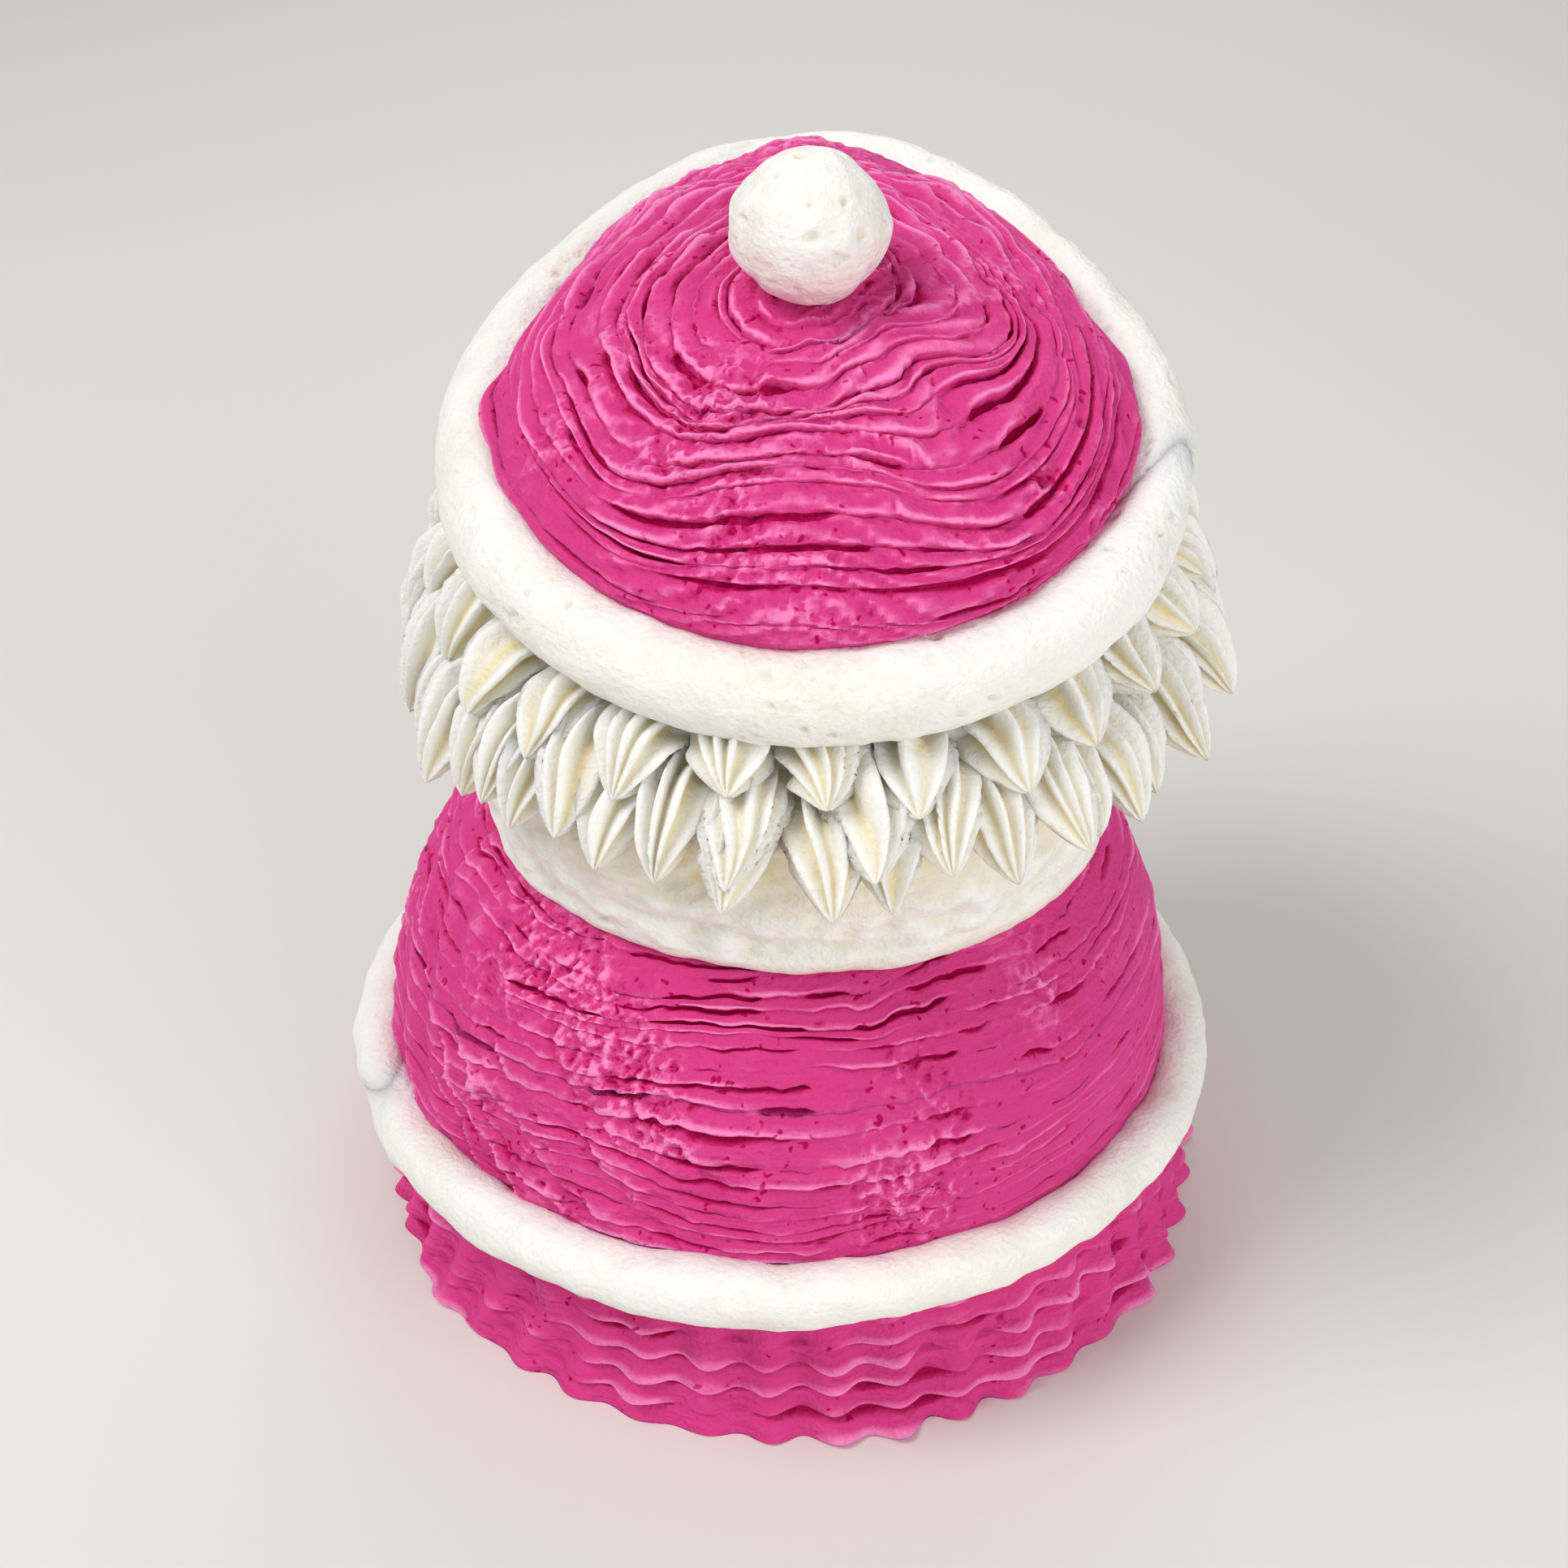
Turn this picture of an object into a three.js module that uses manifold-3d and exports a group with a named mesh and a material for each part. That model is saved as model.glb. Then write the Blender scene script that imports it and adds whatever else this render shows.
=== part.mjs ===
// Christmas cake: a ruffled drum of berry cream under a round white head with a fringe of piped shells,
// wearing a tilted berry cap with a rope brim and a pompom, and a rope belt low on the drum.
// Millimetres and degrees, +Z up, the shown side towards -Y, origin where the drum's axis meets the flat base.

import * as THREE from "three";
import { ParametricGeometry } from "three/addons/geometries/ParametricGeometry.js";
import { mergeVertices } from "three/addons/utils/BufferGeometryUtils.js";
import Module from "manifold-3d";

// Driving dimensions

const clearance = 0.35; // air left between two pieces that touch

const body = {
  radius: 57, // drum between belt and shoulder
  height: 66.1, // flat seat of the head
  domeHeight: 71.5, // where the shoulder curve would close
  shoulderPower: 3.9, // higher is squarer
  footFlare: 3.8, // how far the skirt spreads at the base
  flareFade: 9, // height over which the skirt's spread dies out
  skirtAside: 1.7, // how far the skirt stands aside from the drum's axis
  asideFrom: 8, // heights between which that dies out
  asideTo: 34,
  layers: 13, // piled ribbons of cream
  lip: 0.9, // how far a ribbon stands out of the pile
  lipPlace: 0.32, // share of a ribbon's height where it stands out most
  creasePlace: 0.93, // and where the crease under the next one lies
  creaseDepth: 0.45,
  waves: 36, // scallops round a ribbon
  waveDepth: 0.45,
  skirtWaveDepth: 0.55, // added to the scallops at the base
  baseWave: 0.6, // share of the scallops left at the base
  creaseWave: 0.35, // and in a crease
  swell: 0.3, // how much the scallops fade in and out round a ribbon
  beltAir: 0.3, // more air beside the belt, where flat facets span its round side
};

const belt = {
  middle: new THREE.Vector3(-0.1, 0, 26.3),
  ringRadius: 59.4,
  tubeRadius: 4.2,
  backLength: 0,
  lapStart: 180, // where the tail begins to part from the rope
  lapEnd: 208,
  tailOut: 0.4, // sideways shift of the tail's end
  tailUp: 1.6,
  wobble: 0.16,
};

const cap = {
  middle: new THREE.Vector3(4.3, -8, 122.6), // where the brim's widest line crosses its length
  tilt: 18, // towards the shown side
  lean: -0.5, // towards +X
  summit: new THREE.Vector2(-0.8, 6.4), // top of the hat, from that middle
};

const brim = {
  ringRadius: 41.4,
  tubeRadius: 6.05,
  backLength: 0.3, // the ring is an egg, longer to the back
  lapStart: 312,
  lapEnd: 358,
  tailOut: 1.9,
  tailUp: 2.2,
  wobble: 0.2,
};

// Where a rope's tail laps over its start, both are thinner, as shares of the rope's radius
const lap = { thinning: 0.12, inwards: 0.5, tailWidth: 0.9, tailTaper: 0.52, taperPower: 1.6 };

const hat = {
  seat: -1.9, // underside, from the brim's mid plane
  edgeHeight: 6.4, // where the mound comes out of the brim
  edgeInset: 2.1, // from the middle of the brim's rope
  backInset: 3.6, // more of that at the back
  height: 20.8,
  crown: 1.2, // higher makes the mound more of a cone
  strands: 8, // rings of piped strands
  strandDepth: 0.45,
  swell: 0.25, // how much the strands fade in and out
};

const pompom = { radius: 9.2, squash: 0.95, height: 28.3, dent: 0.25 };

const head = {
  neckMiddle: new THREE.Vector3(2.3, 0, body.height + clearance),
  baseRadius: 41.6, // flat underside
  neckRadius: 43.4,
  neckHeight: 2.4, // rounding above the underside
  bulge: 1.6, // how far the sides swell between neck and brim
  rimInset: 1.4, // rim under the brim, inside the middle of the rope
  rimDrop: 7.3, // and below it
  topDrop: 2.3, // top face, below the brim's mid plane
};

const shell = {
  radius: 5.2,
  footWidth: 0.74, // of the radius, where the shell leaves the head
  fullest: 0.5, // share of the length where it is widest
  tipPower: 0.75, // lower is blunter
  lobes: 5,
  grooveDepth: 0.18, // of the radius
  bendShare: 0.38, // of the length, before it turns down
  cutReach: 20, // shells this close are looked at for overlap
};

// Two rows all the way round and two shells low in front: how many over which arc from which angle,
// place up the head's side, how that changes to the back, the shells' length and its share lost in front,
// the tips' slope, and how much less it is in front and towards +X
const shellRows = [
  {
    name: "upper", count: 26, arc: 360, phase: 269.7, salt: 10,
    up: 0.88, upBack: -0.045, length: 10.6, frontShort: 0, droop: 34, frontLift: 17, rightLift: 6,
  },
  {
    name: "lower", count: 26, arc: 360, phase: 262.8, salt: 0,
    up: 0.69, upBack: -0.1, length: 16.2, frontShort: 0.09, droop: 42, frontLift: 13, rightLift: 6,
  },
  {
    name: "low", count: 2, arc: 42, phase: 260.5, salt: 20,
    up: 0.7, upBack: 0, length: 14.6, frontShort: 0, droop: 36, frontLift: 0, rightLift: 0,
  },
];

// How much one shell may differ from the next
const scatterOf = { turn: 2.2, up: 0.035, droop: 5, length: 0.09, radius: 0.06 };

// Numbers of facets

const facets = {
  body: 72,
  hat: 36,
  head: 30,
  headRows: 4,
  ropeRound: 8,
  brimAlong: 48,
  beltAlong: 50,
  tailAlong: 7,
  pompomRound: 16,
  pompomRows: 8,
  shellRows: 5,
};

const fullTurn = 2 * Math.PI;
const slopeStep = 0.01; // for directions taken from two nearby points
const { degToRad, radToDeg, clamp, lerp, smoothstep } = THREE.MathUtils;
const wasm = await Module();
wasm.setup();

// Small tools

// A repeatable number from -1 to 1 for each index and salt
function scatter(index, salt) {
  const wave = Math.sin(index * 12.9898 + salt * 78.233) * 43758.5453;
  return 2 * (wave - Math.floor(wave)) - 1;
}

// A closed surface from rows of points: place(target, angle, row) sets one point,
// with angle running round a row and row from the first to the last
function closedSurface(place, around, lastRow) {
  const geometry = new ParametricGeometry(
    (u, v, target) => place(target, u * fullTurn, Math.round(v * lastRow)),
    around,
    lastRow,
  );
  geometry.deleteAttribute("normal");
  geometry.deleteAttribute("uv");
  return mergeVertices(geometry, 1e-4);
}

function toSolid(geometry) {
  const mesh = new wasm.Mesh({
    numProp: 3,
    vertProperties: Float32Array.from(geometry.attributes.position.array),
    triVerts: Uint32Array.from(geometry.index.array),
  });
  mesh.merge();
  return new wasm.Manifold(mesh);
}

// The largest closed body of a solid, as a geometry
function toGeometry(solid) {
  const bodies = solid.decompose();
  bodies.sort((first, second) => second.volume() - first.volume());
  const mesh = bodies[0].getMesh();
  const geometry = new THREE.BufferGeometry();
  geometry.setAttribute("position", new THREE.BufferAttribute(mesh.vertProperties, 3));
  geometry.setIndex(new THREE.BufferAttribute(mesh.triVerts, 1));
  return geometry;
}

function berryCream() {
  return new THREE.MeshStandardMaterial({ color: 0xd2428a, roughness: 0.55, metalness: 0 });
}

function whiteCream() {
  return new THREE.MeshStandardMaterial({ color: 0xf4f0e2, roughness: 0.5, metalness: 0 });
}

function addPiece(group, name, geometry, material) {
  const mesh = new THREE.Mesh(geometry, material);
  mesh.name = name;
  group.add(mesh);
}

// Piped ropes: a round tube along a ring, with a tapering tail that laps over its start

// Middle of the rope at an angle, moved outwards square to the ring
function ropeLine(rope, angle, outwards) {
  const point = (turn) => {
    const stretch = 1 + rope.backLength * Math.max(0, Math.sin(turn)) ** 2;
    return new THREE.Vector2(Math.cos(turn), stretch * Math.sin(turn)).multiplyScalar(rope.ringRadius);
  };
  const along = point(angle + slopeStep).sub(point(angle - slopeStep)).normalize();
  return point(angle).add(new THREE.Vector2(along.y, -along.x).multiplyScalar(outwards));
}

// Half the rope's thickness with the air round it, as a cutter sees it
function ropeReach(rope) {
  return rope.tubeRadius + rope.wobble + clearance;
}

// How far inside the rope's middle line its room ends at a height above its mid plane
function roomInside(rope, height, air = 0) {
  return Math.sqrt(Math.max(0, (ropeReach(rope) + air) ** 2 - height ** 2));
}

function ropeSurfacePoint(target, rope, turn, spin, { out, up, tube }) {
  const flat = ropeLine(rope, turn, out + tube * Math.cos(spin));
  target.set(flat.x, flat.y, up - tube * Math.sin(spin));
}

// The whole ring, a little uneven and thinner where the tail lies over it
function ropeRing(rope, along) {
  return closedSurface((target, spin, row) => {
    const turn = (row / along) * fullTurn;
    const share = clamp((radToDeg(turn) - rope.lapStart) / (rope.lapEnd - rope.lapStart), 0, 1);
    const lapped = Math.sin(Math.PI * share);
    const uneven = 0.5 * rope.wobble * (0.6 * Math.sin(3 * turn + 1) + 0.4 * Math.sin(7 * turn));
    const tube = rope.tubeRadius * (1 - lap.thinning * lapped) + uneven;
    ropeSurfacePoint(target, rope, turn, spin, { out: -lap.inwards * lapped, up: uneven, tube });
  }, facets.ropeRound, along);
}

function ropeTail(rope) {
  const lastRow = facets.tailAlong;
  return closedSurface((target, spin, row) => {
    const share = clamp((row - 1) / (lastRow - 2), 0, 1);
    const turn = degToRad(lerp(rope.lapStart, rope.lapEnd, share));
    const closed = row === 0 || row === lastRow;
    const width = lap.tailWidth - lap.tailTaper * share ** lap.taperPower;
    const tube = closed ? 0 : rope.tubeRadius * width;
    ropeSurfacePoint(target, rope, turn, spin, { out: rope.tailOut * share, up: rope.tailUp * share, tube });
  }, facets.ropeRound, lastRow);
}

function makeRope(rope, along) {
  return toGeometry(toSolid(ropeRing(rope, along)).add(toSolid(ropeTail(rope))));
}

// Drum with its skirt: each ribbon of the pile has a lip low down and a crease above it

function drumRadius(z) {
  const shoulder = 1 - (z / body.domeHeight) ** body.shoulderPower;
  return body.radius * shoulder ** (1 / body.shoulderPower) + body.footFlare * Math.exp(-z / body.flareFade);
}

function drumShift(z) {
  return body.skirtAside * (1 - smoothstep(z, body.asideFrom, body.asideTo));
}

function drumRows() {
  const pitch = body.height / body.layers;
  const rows = [{ r: 0, z: 0, wave: 0 }, { r: drumRadius(0) - body.lip, z: 0, wave: body.baseWave }];
  for (let layer = 0; layer < body.layers; layer += 1) {
    const lipHeight = (layer + body.lipPlace) * pitch;
    const creaseHeight = (layer + body.creasePlace) * pitch;
    rows.push({ r: drumRadius(lipHeight) + body.lip, z: lipHeight, wave: 1, layer });
    const creaseRadius = drumRadius(creaseHeight) - body.creaseDepth;
    rows.push({ r: creaseRadius, z: creaseHeight, wave: body.creaseWave, layer });
  }
  rows.push({ r: drumRadius(body.height), z: body.height, wave: 0 }, { r: 0, z: body.height, wave: 0 });
  return rows;
}

// Share of a drum point's radius that is left where the belt takes its room
function besideBelt(angle, r, z) {
  const rise = z - belt.middle.z;
  if (Math.abs(rise) >= ropeReach(belt) + body.beltAir) {
    return 1;
  }
  const flat = ropeLine(belt, angle, -roomInside(belt, rise, body.beltAir));
  const aside = belt.middle.x - drumShift(z);
  return Math.min(1, Math.hypot(flat.x + aside, flat.y + belt.middle.y) / r);
}

function makeDrum() {
  const rows = drumRows();
  return closedSurface((target, angle, index) => {
    const { r, z, wave, layer = 0 } = rows[index];
    const depth = body.waveDepth + body.skirtWaveDepth * Math.exp(-z / body.flareFade);
    const swell = 1 - body.swell + body.swell * Math.sin(5 * angle + 2.1 * layer);
    const scalloped = r + wave * depth * swell * Math.cos(body.waves * angle + layer * Math.PI);
    const held = scalloped * besideBelt(angle, scalloped, z);
    target.set(held * Math.cos(angle) + drumShift(z), held * Math.sin(angle), z);
  }, facets.body, rows.length - 1);
}

// Hat: a mound of ringed strands that fills the brim, with a hollow for the pompom

function hatRows() {
  const rows = [{ closed: true, height: hat.seat }];
  for (const height of [hat.seat, 0.35 * hat.edgeHeight, 0.75 * hat.edgeHeight]) {
    rows.push({ inset: roomInside(brim, height), height });
  }
  const steps = 2 * hat.strands;
  for (let step = 0; step <= steps; step += 1) {
    const rise = (step / steps) * 0.5 * Math.PI;
    const ridge = hat.strandDepth * (step % 2 === 0 ? 1 : -1);
    const height = lerp(hat.edgeHeight, hat.height, Math.sin(rise) ** hat.crown);
    rows.push({ inset: hat.edgeInset, height, rise, ridge, closed: step === steps });
  }
  return rows;
}

// Height of the pompom's underside, less the air under it
function underPompom(r) {
  const reach = pompom.radius + pompom.dent + clearance;
  return r < reach ? pompom.height - pompom.squash * Math.sqrt(reach ** 2 - r ** 2) : Infinity;
}

function makeHat() {
  const rows = hatRows();
  return closedSurface((target, angle, index) => {
    const { inset = 0, height, rise = 0, ridge = 0, closed } = rows[index];
    const wavy = ridge * (1 - hat.swell + hat.swell * Math.sin(3 * angle + 4 * rise));
    const back = rise > 0 || ridge > 0 ? hat.backInset * Math.max(0, Math.sin(angle)) : 0;
    const flat = ropeLine(brim, angle, wavy * Math.cos(rise) - inset - back);
    flat.lerp(cap.summit, closed ? 1 : 1 - Math.cos(rise));
    const capped = Math.min(height + wavy * Math.sin(rise), underPompom(flat.distanceTo(cap.summit)));
    target.set(flat.x, flat.y, capped);
  }, facets.hat, rows.length - 1);
}

function makePompom() {
  const lastRow = facets.pompomRows;
  return closedSurface((target, angle, row) => {
    const rise = (row / lastRow - 0.5) * Math.PI;
    const dent = pompom.dent * Math.sin(3 * angle + 1) * Math.sin(2 * rise) * Math.cos(rise);
    const radius = pompom.radius + dent;
    const r = radius * Math.cos(rise);
    const z = pompom.height + pompom.squash * radius * Math.sin(rise);
    target.set(cap.summit.x + r * Math.cos(angle), cap.summit.y + r * Math.sin(angle), z);
  }, facets.pompomRound, lastRow);
}

// Turned frame of the cap, which carries the hat, its brim and its pompom
const capGroup = new THREE.Group();
capGroup.position.copy(cap.middle);
capGroup.rotation.set(degToRad(cap.tilt), degToRad(cap.lean), 0);
capGroup.updateMatrixWorld();

// Head: sides that swell from a level round neck to the tilted rim under the brim

function capPoint(angle, inset, height) {
  const flat = ropeLine(brim, angle, -inset);
  return new THREE.Vector3(flat.x, flat.y, height).applyMatrix4(capGroup.matrixWorld);
}

function neckPoint(angle, radius, height) {
  const out = new THREE.Vector3(radius * Math.cos(angle), radius * Math.sin(angle), height);
  return out.add(head.neckMiddle);
}

// Side of the head at an angle and a share of the way up
function headSide(angle, up) {
  const point = neckPoint(angle, head.neckRadius, head.neckHeight);
  point.lerp(capPoint(angle, head.rimInset, -head.rimDrop), up);
  const swell = head.bulge * Math.sin(Math.PI * clamp(up, 0, 1));
  return point.add(new THREE.Vector3(swell * Math.cos(angle), swell * Math.sin(angle), 0));
}

function headOutward(angle, up) {
  const round = headSide(angle + slopeStep, up).sub(headSide(angle - slopeStep, up));
  const rise = headSide(angle, up + slopeStep).sub(headSide(angle, up - slopeStep));
  return round.cross(rise).normalize();
}

function makeHead() {
  const sideRows = facets.headRows;
  const shoulderDrop = 0.5 * (head.topDrop + head.rimDrop);
  const underBrim = (angle, drop) => capPoint(angle, roomInside(brim, drop) + clearance, -drop);
  const summit = new THREE.Vector3(cap.summit.x, cap.summit.y, -head.topDrop);
  summit.applyMatrix4(capGroup.matrixWorld);
  const rows = [
    () => head.neckMiddle,
    (angle) => neckPoint(angle, head.baseRadius, 0),
    ...Array.from({ length: sideRows + 1 }, (unused, row) => (angle) => headSide(angle, row / sideRows)),
    (angle) => underBrim(angle, shoulderDrop),
    (angle) => underBrim(angle, head.topDrop),
    () => summit,
  ];
  return closedSurface((target, angle, row) => target.copy(rows[row](angle)), facets.head, rows.length - 1);
}

// Shells: fluted drops of cream that leave the head square to it and droop to a pointed tip

// Where one shell starts, the way it bends and how large it is
function shellPose(row, index) {
  const { salt } = row;
  const angle = degToRad(row.phase + (row.arc / row.count) * index + scatterOf.turn * scatter(index, salt));
  const up = row.up + row.upBack * Math.sin(angle) + scatterOf.up * scatter(index, salt + 1);
  const front = Math.max(0, -Math.sin(angle)) ** 2;
  const lift = row.frontLift * front + row.rightLift * Math.cos(angle);
  const droop = degToRad(row.droop - lift + scatterOf.droop * scatter(index, salt + 2));
  const uneven = 1 + scatterOf.length * scatter(index, salt + 3);
  const length = row.length * (1 - row.frontShort * front) * uneven;
  const radius = shell.radius * (1 + scatterOf.radius * scatter(index, salt + 4));
  const out = headOutward(angle, up);
  const level = new THREE.Vector3(out.x, out.y, 0).normalize();
  const start = headSide(angle, up).addScaledVector(out, clearance);
  const bend = start.clone().addScaledVector(out, shell.bendShare * length);
  const tip = start.clone().addScaledVector(level, length * Math.cos(droop));
  tip.z -= length * Math.sin(droop);
  const side = new THREE.Vector3(-level.y, level.x, 0);
  return { path: new THREE.QuadraticBezierCurve3(start, bend, tip), side, radius };
}

// Width along a shell: it swells from the foot to its fullest, then rounds off to the tip
function shellWidth(share) {
  if (share < shell.fullest) {
    return lerp(shell.footWidth, 1, Math.sin((0.5 * Math.PI * share) / shell.fullest));
  }
  return Math.cos((0.5 * Math.PI * (share - shell.fullest)) / (1 - shell.fullest)) ** shell.tipPower;
}

function makeShell(pose, grow) {
  const lastRow = facets.shellRows;
  return toSolid(closedSurface((target, spin, row) => {
    const share = Math.max(0, (row - 1) / (lastRow - 1));
    const closed = row === 0 || row === lastRow;
    const forward = pose.path.getTangent(share);
    const over = new THREE.Vector3().crossVectors(forward, pose.side);
    const groove = 1 - shell.grooveDepth * (0.5 - 0.5 * Math.cos(shell.lobes * spin));
    const width = closed ? 0 : pose.radius * shellWidth(share) * groove + grow;
    target.copy(pose.path.getPoint(share)).addScaledVector(forward, grow * (2 * share - 1));
    target.addScaledVector(pose.side, width * Math.cos(spin)).addScaledVector(over, width * Math.sin(spin));
  }, 2 * shell.lobes, lastRow));
}

// Room that the brim takes, in the whole cake's frame
function brimRoom() {
  const along = facets.brimAlong;
  const room = closedSurface((target, spin, row) => {
    ropeSurfacePoint(target, brim, (row / along) * fullTurn, spin, { out: 0, up: 0, tube: ropeReach(brim) });
  }, facets.ropeRound, along);
  return toSolid(room.applyMatrix4(capGroup.matrixWorld));
}

// Each shell gives way to the brim and to the shells placed before it
function makeFringe(group) {
  const room = brimRoom();
  const placed = [];
  for (const row of shellRows) {
    for (let index = 0; index < row.count; index += 1) {
      const pose = shellPose(row, index);
      const near = placed.filter((other) => other.path.v0.distanceTo(pose.path.v0) < shell.cutReach);
      const solid = near.reduce(
        (rest, other) => rest.subtract(makeShell(other, clearance)),
        makeShell(pose, 0).subtract(room),
      );
      const number = String(index + 1).padStart(2, "0");
      addPiece(group, `shell_${row.name}_${number}`, toGeometry(solid), whiteCream());
      placed.push(pose);
    }
  }
}

// Assembly

const cake = new THREE.Group();
addPiece(cake, "body", makeDrum(), berryCream());
const beltGroup = new THREE.Group();
beltGroup.position.copy(belt.middle);
addPiece(beltGroup, "belt", makeRope(belt, facets.beltAlong), whiteCream());
cake.add(beltGroup);
addPiece(cake, "head", makeHead(), whiteCream());
addPiece(capGroup, "hat", makeHat(), berryCream());
addPiece(capGroup, "brim", makeRope(brim, facets.brimAlong), whiteCream());
addPiece(capGroup, "pompom", makePompom(), whiteCream());
cake.add(capGroup);
makeFringe(cake);

export default cake;
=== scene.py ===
import itertools

import bpy
import numpy as np
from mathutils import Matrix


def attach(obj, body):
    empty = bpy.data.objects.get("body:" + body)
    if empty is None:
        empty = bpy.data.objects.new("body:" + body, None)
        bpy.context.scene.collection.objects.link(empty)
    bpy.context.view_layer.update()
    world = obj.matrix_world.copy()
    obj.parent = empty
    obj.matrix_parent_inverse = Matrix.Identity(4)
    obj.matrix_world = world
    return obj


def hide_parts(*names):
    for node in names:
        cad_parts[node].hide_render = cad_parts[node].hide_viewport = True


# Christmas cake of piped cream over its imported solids.
# Lengths are in millimetres until a mesh is made, and in metres for floor, light and camera. Angles are in
# radians, in degrees where a dictionary or a call names a place round the cake.

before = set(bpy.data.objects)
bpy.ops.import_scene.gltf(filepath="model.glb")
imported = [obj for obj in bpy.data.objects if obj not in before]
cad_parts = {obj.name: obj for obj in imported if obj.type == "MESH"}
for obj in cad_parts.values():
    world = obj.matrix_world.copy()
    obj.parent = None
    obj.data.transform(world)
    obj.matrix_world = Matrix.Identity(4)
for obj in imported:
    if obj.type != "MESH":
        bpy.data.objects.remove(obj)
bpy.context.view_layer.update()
millimetre = 0.001
fullTurn = 2 * np.pi


# Number tools

def easeStep(value, low, high):
    # 0 below low, 1 above high, 3t2 - 2t3 between them
    t = np.clip((value - low) / (high - low), 0, 1)
    return t * t * (3 - 2 * t)


def between(value, rise, fall):
    # from 0 to 1 over the rise and back to 0 over the fall, each a pair of limits
    return easeStep(value, *rise) * (1 - easeStep(value, *fall))


def unit(vectors):
    # each vector divided by its length
    return vectors / np.linalg.norm(vectors, axis=-1, keepdims=True)


def ringAngles(count):
    # that many even angles round one turn, as a row
    return (np.arange(count) * fullTurn / count)[None, :]


def pointsFrom(x, y, z):
    # points from three numbers or arrays, stretched to one shape
    return np.stack(np.broadcast_arrays(x, y, z), -1)


def scatter(index, salt):
    # a repeatable number from -1 to 1: what is left of a large sine after its whole part
    wave = np.sin(index * 12.9898 + salt * 78.233) * 43758.5453
    return 2 * (wave - np.floor(wave)) - 1


def cellShare(cell, seed):
    # a number from 0 to 1 for each whole-numbered cell: its numbers times odd constants, mixed twice
    x, y, z = np.moveaxis(cell, -1, 0)
    mixed = (x * 73856093) ^ (y * 19349663) ^ (z * 83492791) ^ (seed * 2654435)
    mixed = ((mixed ^ (mixed >> 15)) * 2246822519) & 0xFFFFFFFF
    mixed = ((mixed ^ (mixed >> 13)) * 3266489917) & 0xFFFFFFFF
    return ((mixed ^ (mixed >> 16)) & 0xFFFFFF) / 0xFFFFFF


def softNoise(points, size, seed):
    # smooth lumps from -1 to 1: the shares at a cell's eight corners, blended with 3t2 - 2t3
    q = points / size
    cell = np.floor(q)
    t = q - cell
    t = t * t * (3 - 2 * t)
    cell = cell.astype(np.int64)
    total = np.zeros(q.shape[:-1])
    for corner in itertools.product((0, 1), repeat=3):
        weight = np.prod(np.where(corner, t, 1 - t), axis=-1)
        total += weight * cellShare(cell + np.array(corner), seed)
    return 2 * total - 1


def roughNoise(points, size, seed):
    # three sizes of lumps, each half as large and half as strong as the last
    return sum(softNoise(points, size / 2 ** k, seed + k) / 2 ** k for k in range(3)) / 1.75


def pits(points, size, seed, filled, wide=1.0):
    # 1 in the middle of a pit, 0 outside: one round pit at a random place in a share of the cells
    cell = np.floor(points / size).astype(np.int64)
    deepest = np.zeros(points.shape[:-1])
    for step in itertools.product((-1, 0, 1), repeat=3):
        near = cell + np.array(step)
        middle = np.stack([cellShare(near, seed + k) for k in range(3)], -1)
        away = np.linalg.norm((near + middle) * size - points, axis=-1)
        radius = wide * size * (0.1 + 0.16 * cellShare(near, seed + 3))
        inside = np.clip(1 - (away / radius) ** 2, 0, 1)
        deepest = np.maximum(deepest, inside * (cellShare(near, seed + 4) < filled))
    return deepest


def standing(change):
    # how far each point of a grid stands above its neighbours: a ridge is above 0, a hollow below
    around = sum(np.roll(change, step, axis=1) for step in (-3, -2, -1, 1, 2, 3))
    padded = np.pad(change, ((2, 2), (0, 0)), mode="edge")
    upright = padded[:-4] + padded[1:-3] + padded[3:-1] + padded[4:]
    return change - (around + upright) / 10


def crookedPoints(points, size, reach, seed):
    # each point moved by smooth noise of that size, with other noise for each axis
    return points + reach * np.stack([softNoise(points, size, seed + k) for k in range(3)], -1)


def surfaceFrame(place, angle, up, step=1e-3):
    # a surface's points and its outward direction, the cross product of its changes round and up
    around = place(angle + step, up) - place(angle - step, up)
    rise = place(angle, up + step) - place(angle, up - step)
    return place(angle, up), unit(np.cross(around, rise))


# Shader nodes

class Flow:
    # a socket of a finish: arithmetic on it adds Math nodes
    def __init__(self, finish, socket):
        self.finish = finish
        self.socket = socket

    def math(self, operation, first, second):
        return self.finish.node("ShaderNodeMath", {"operation": operation}, {0: first, 1: second})

    def __add__(self, other):
        return self.math("ADD", self, other)

    __radd__ = __add__

    def __sub__(self, other):
        return self.math("SUBTRACT", self, other)

    def __rsub__(self, other):
        return self.math("SUBTRACT", other, self)

    def __mul__(self, other):
        return self.math("MULTIPLY", self, other)

    __rmul__ = __mul__


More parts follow.
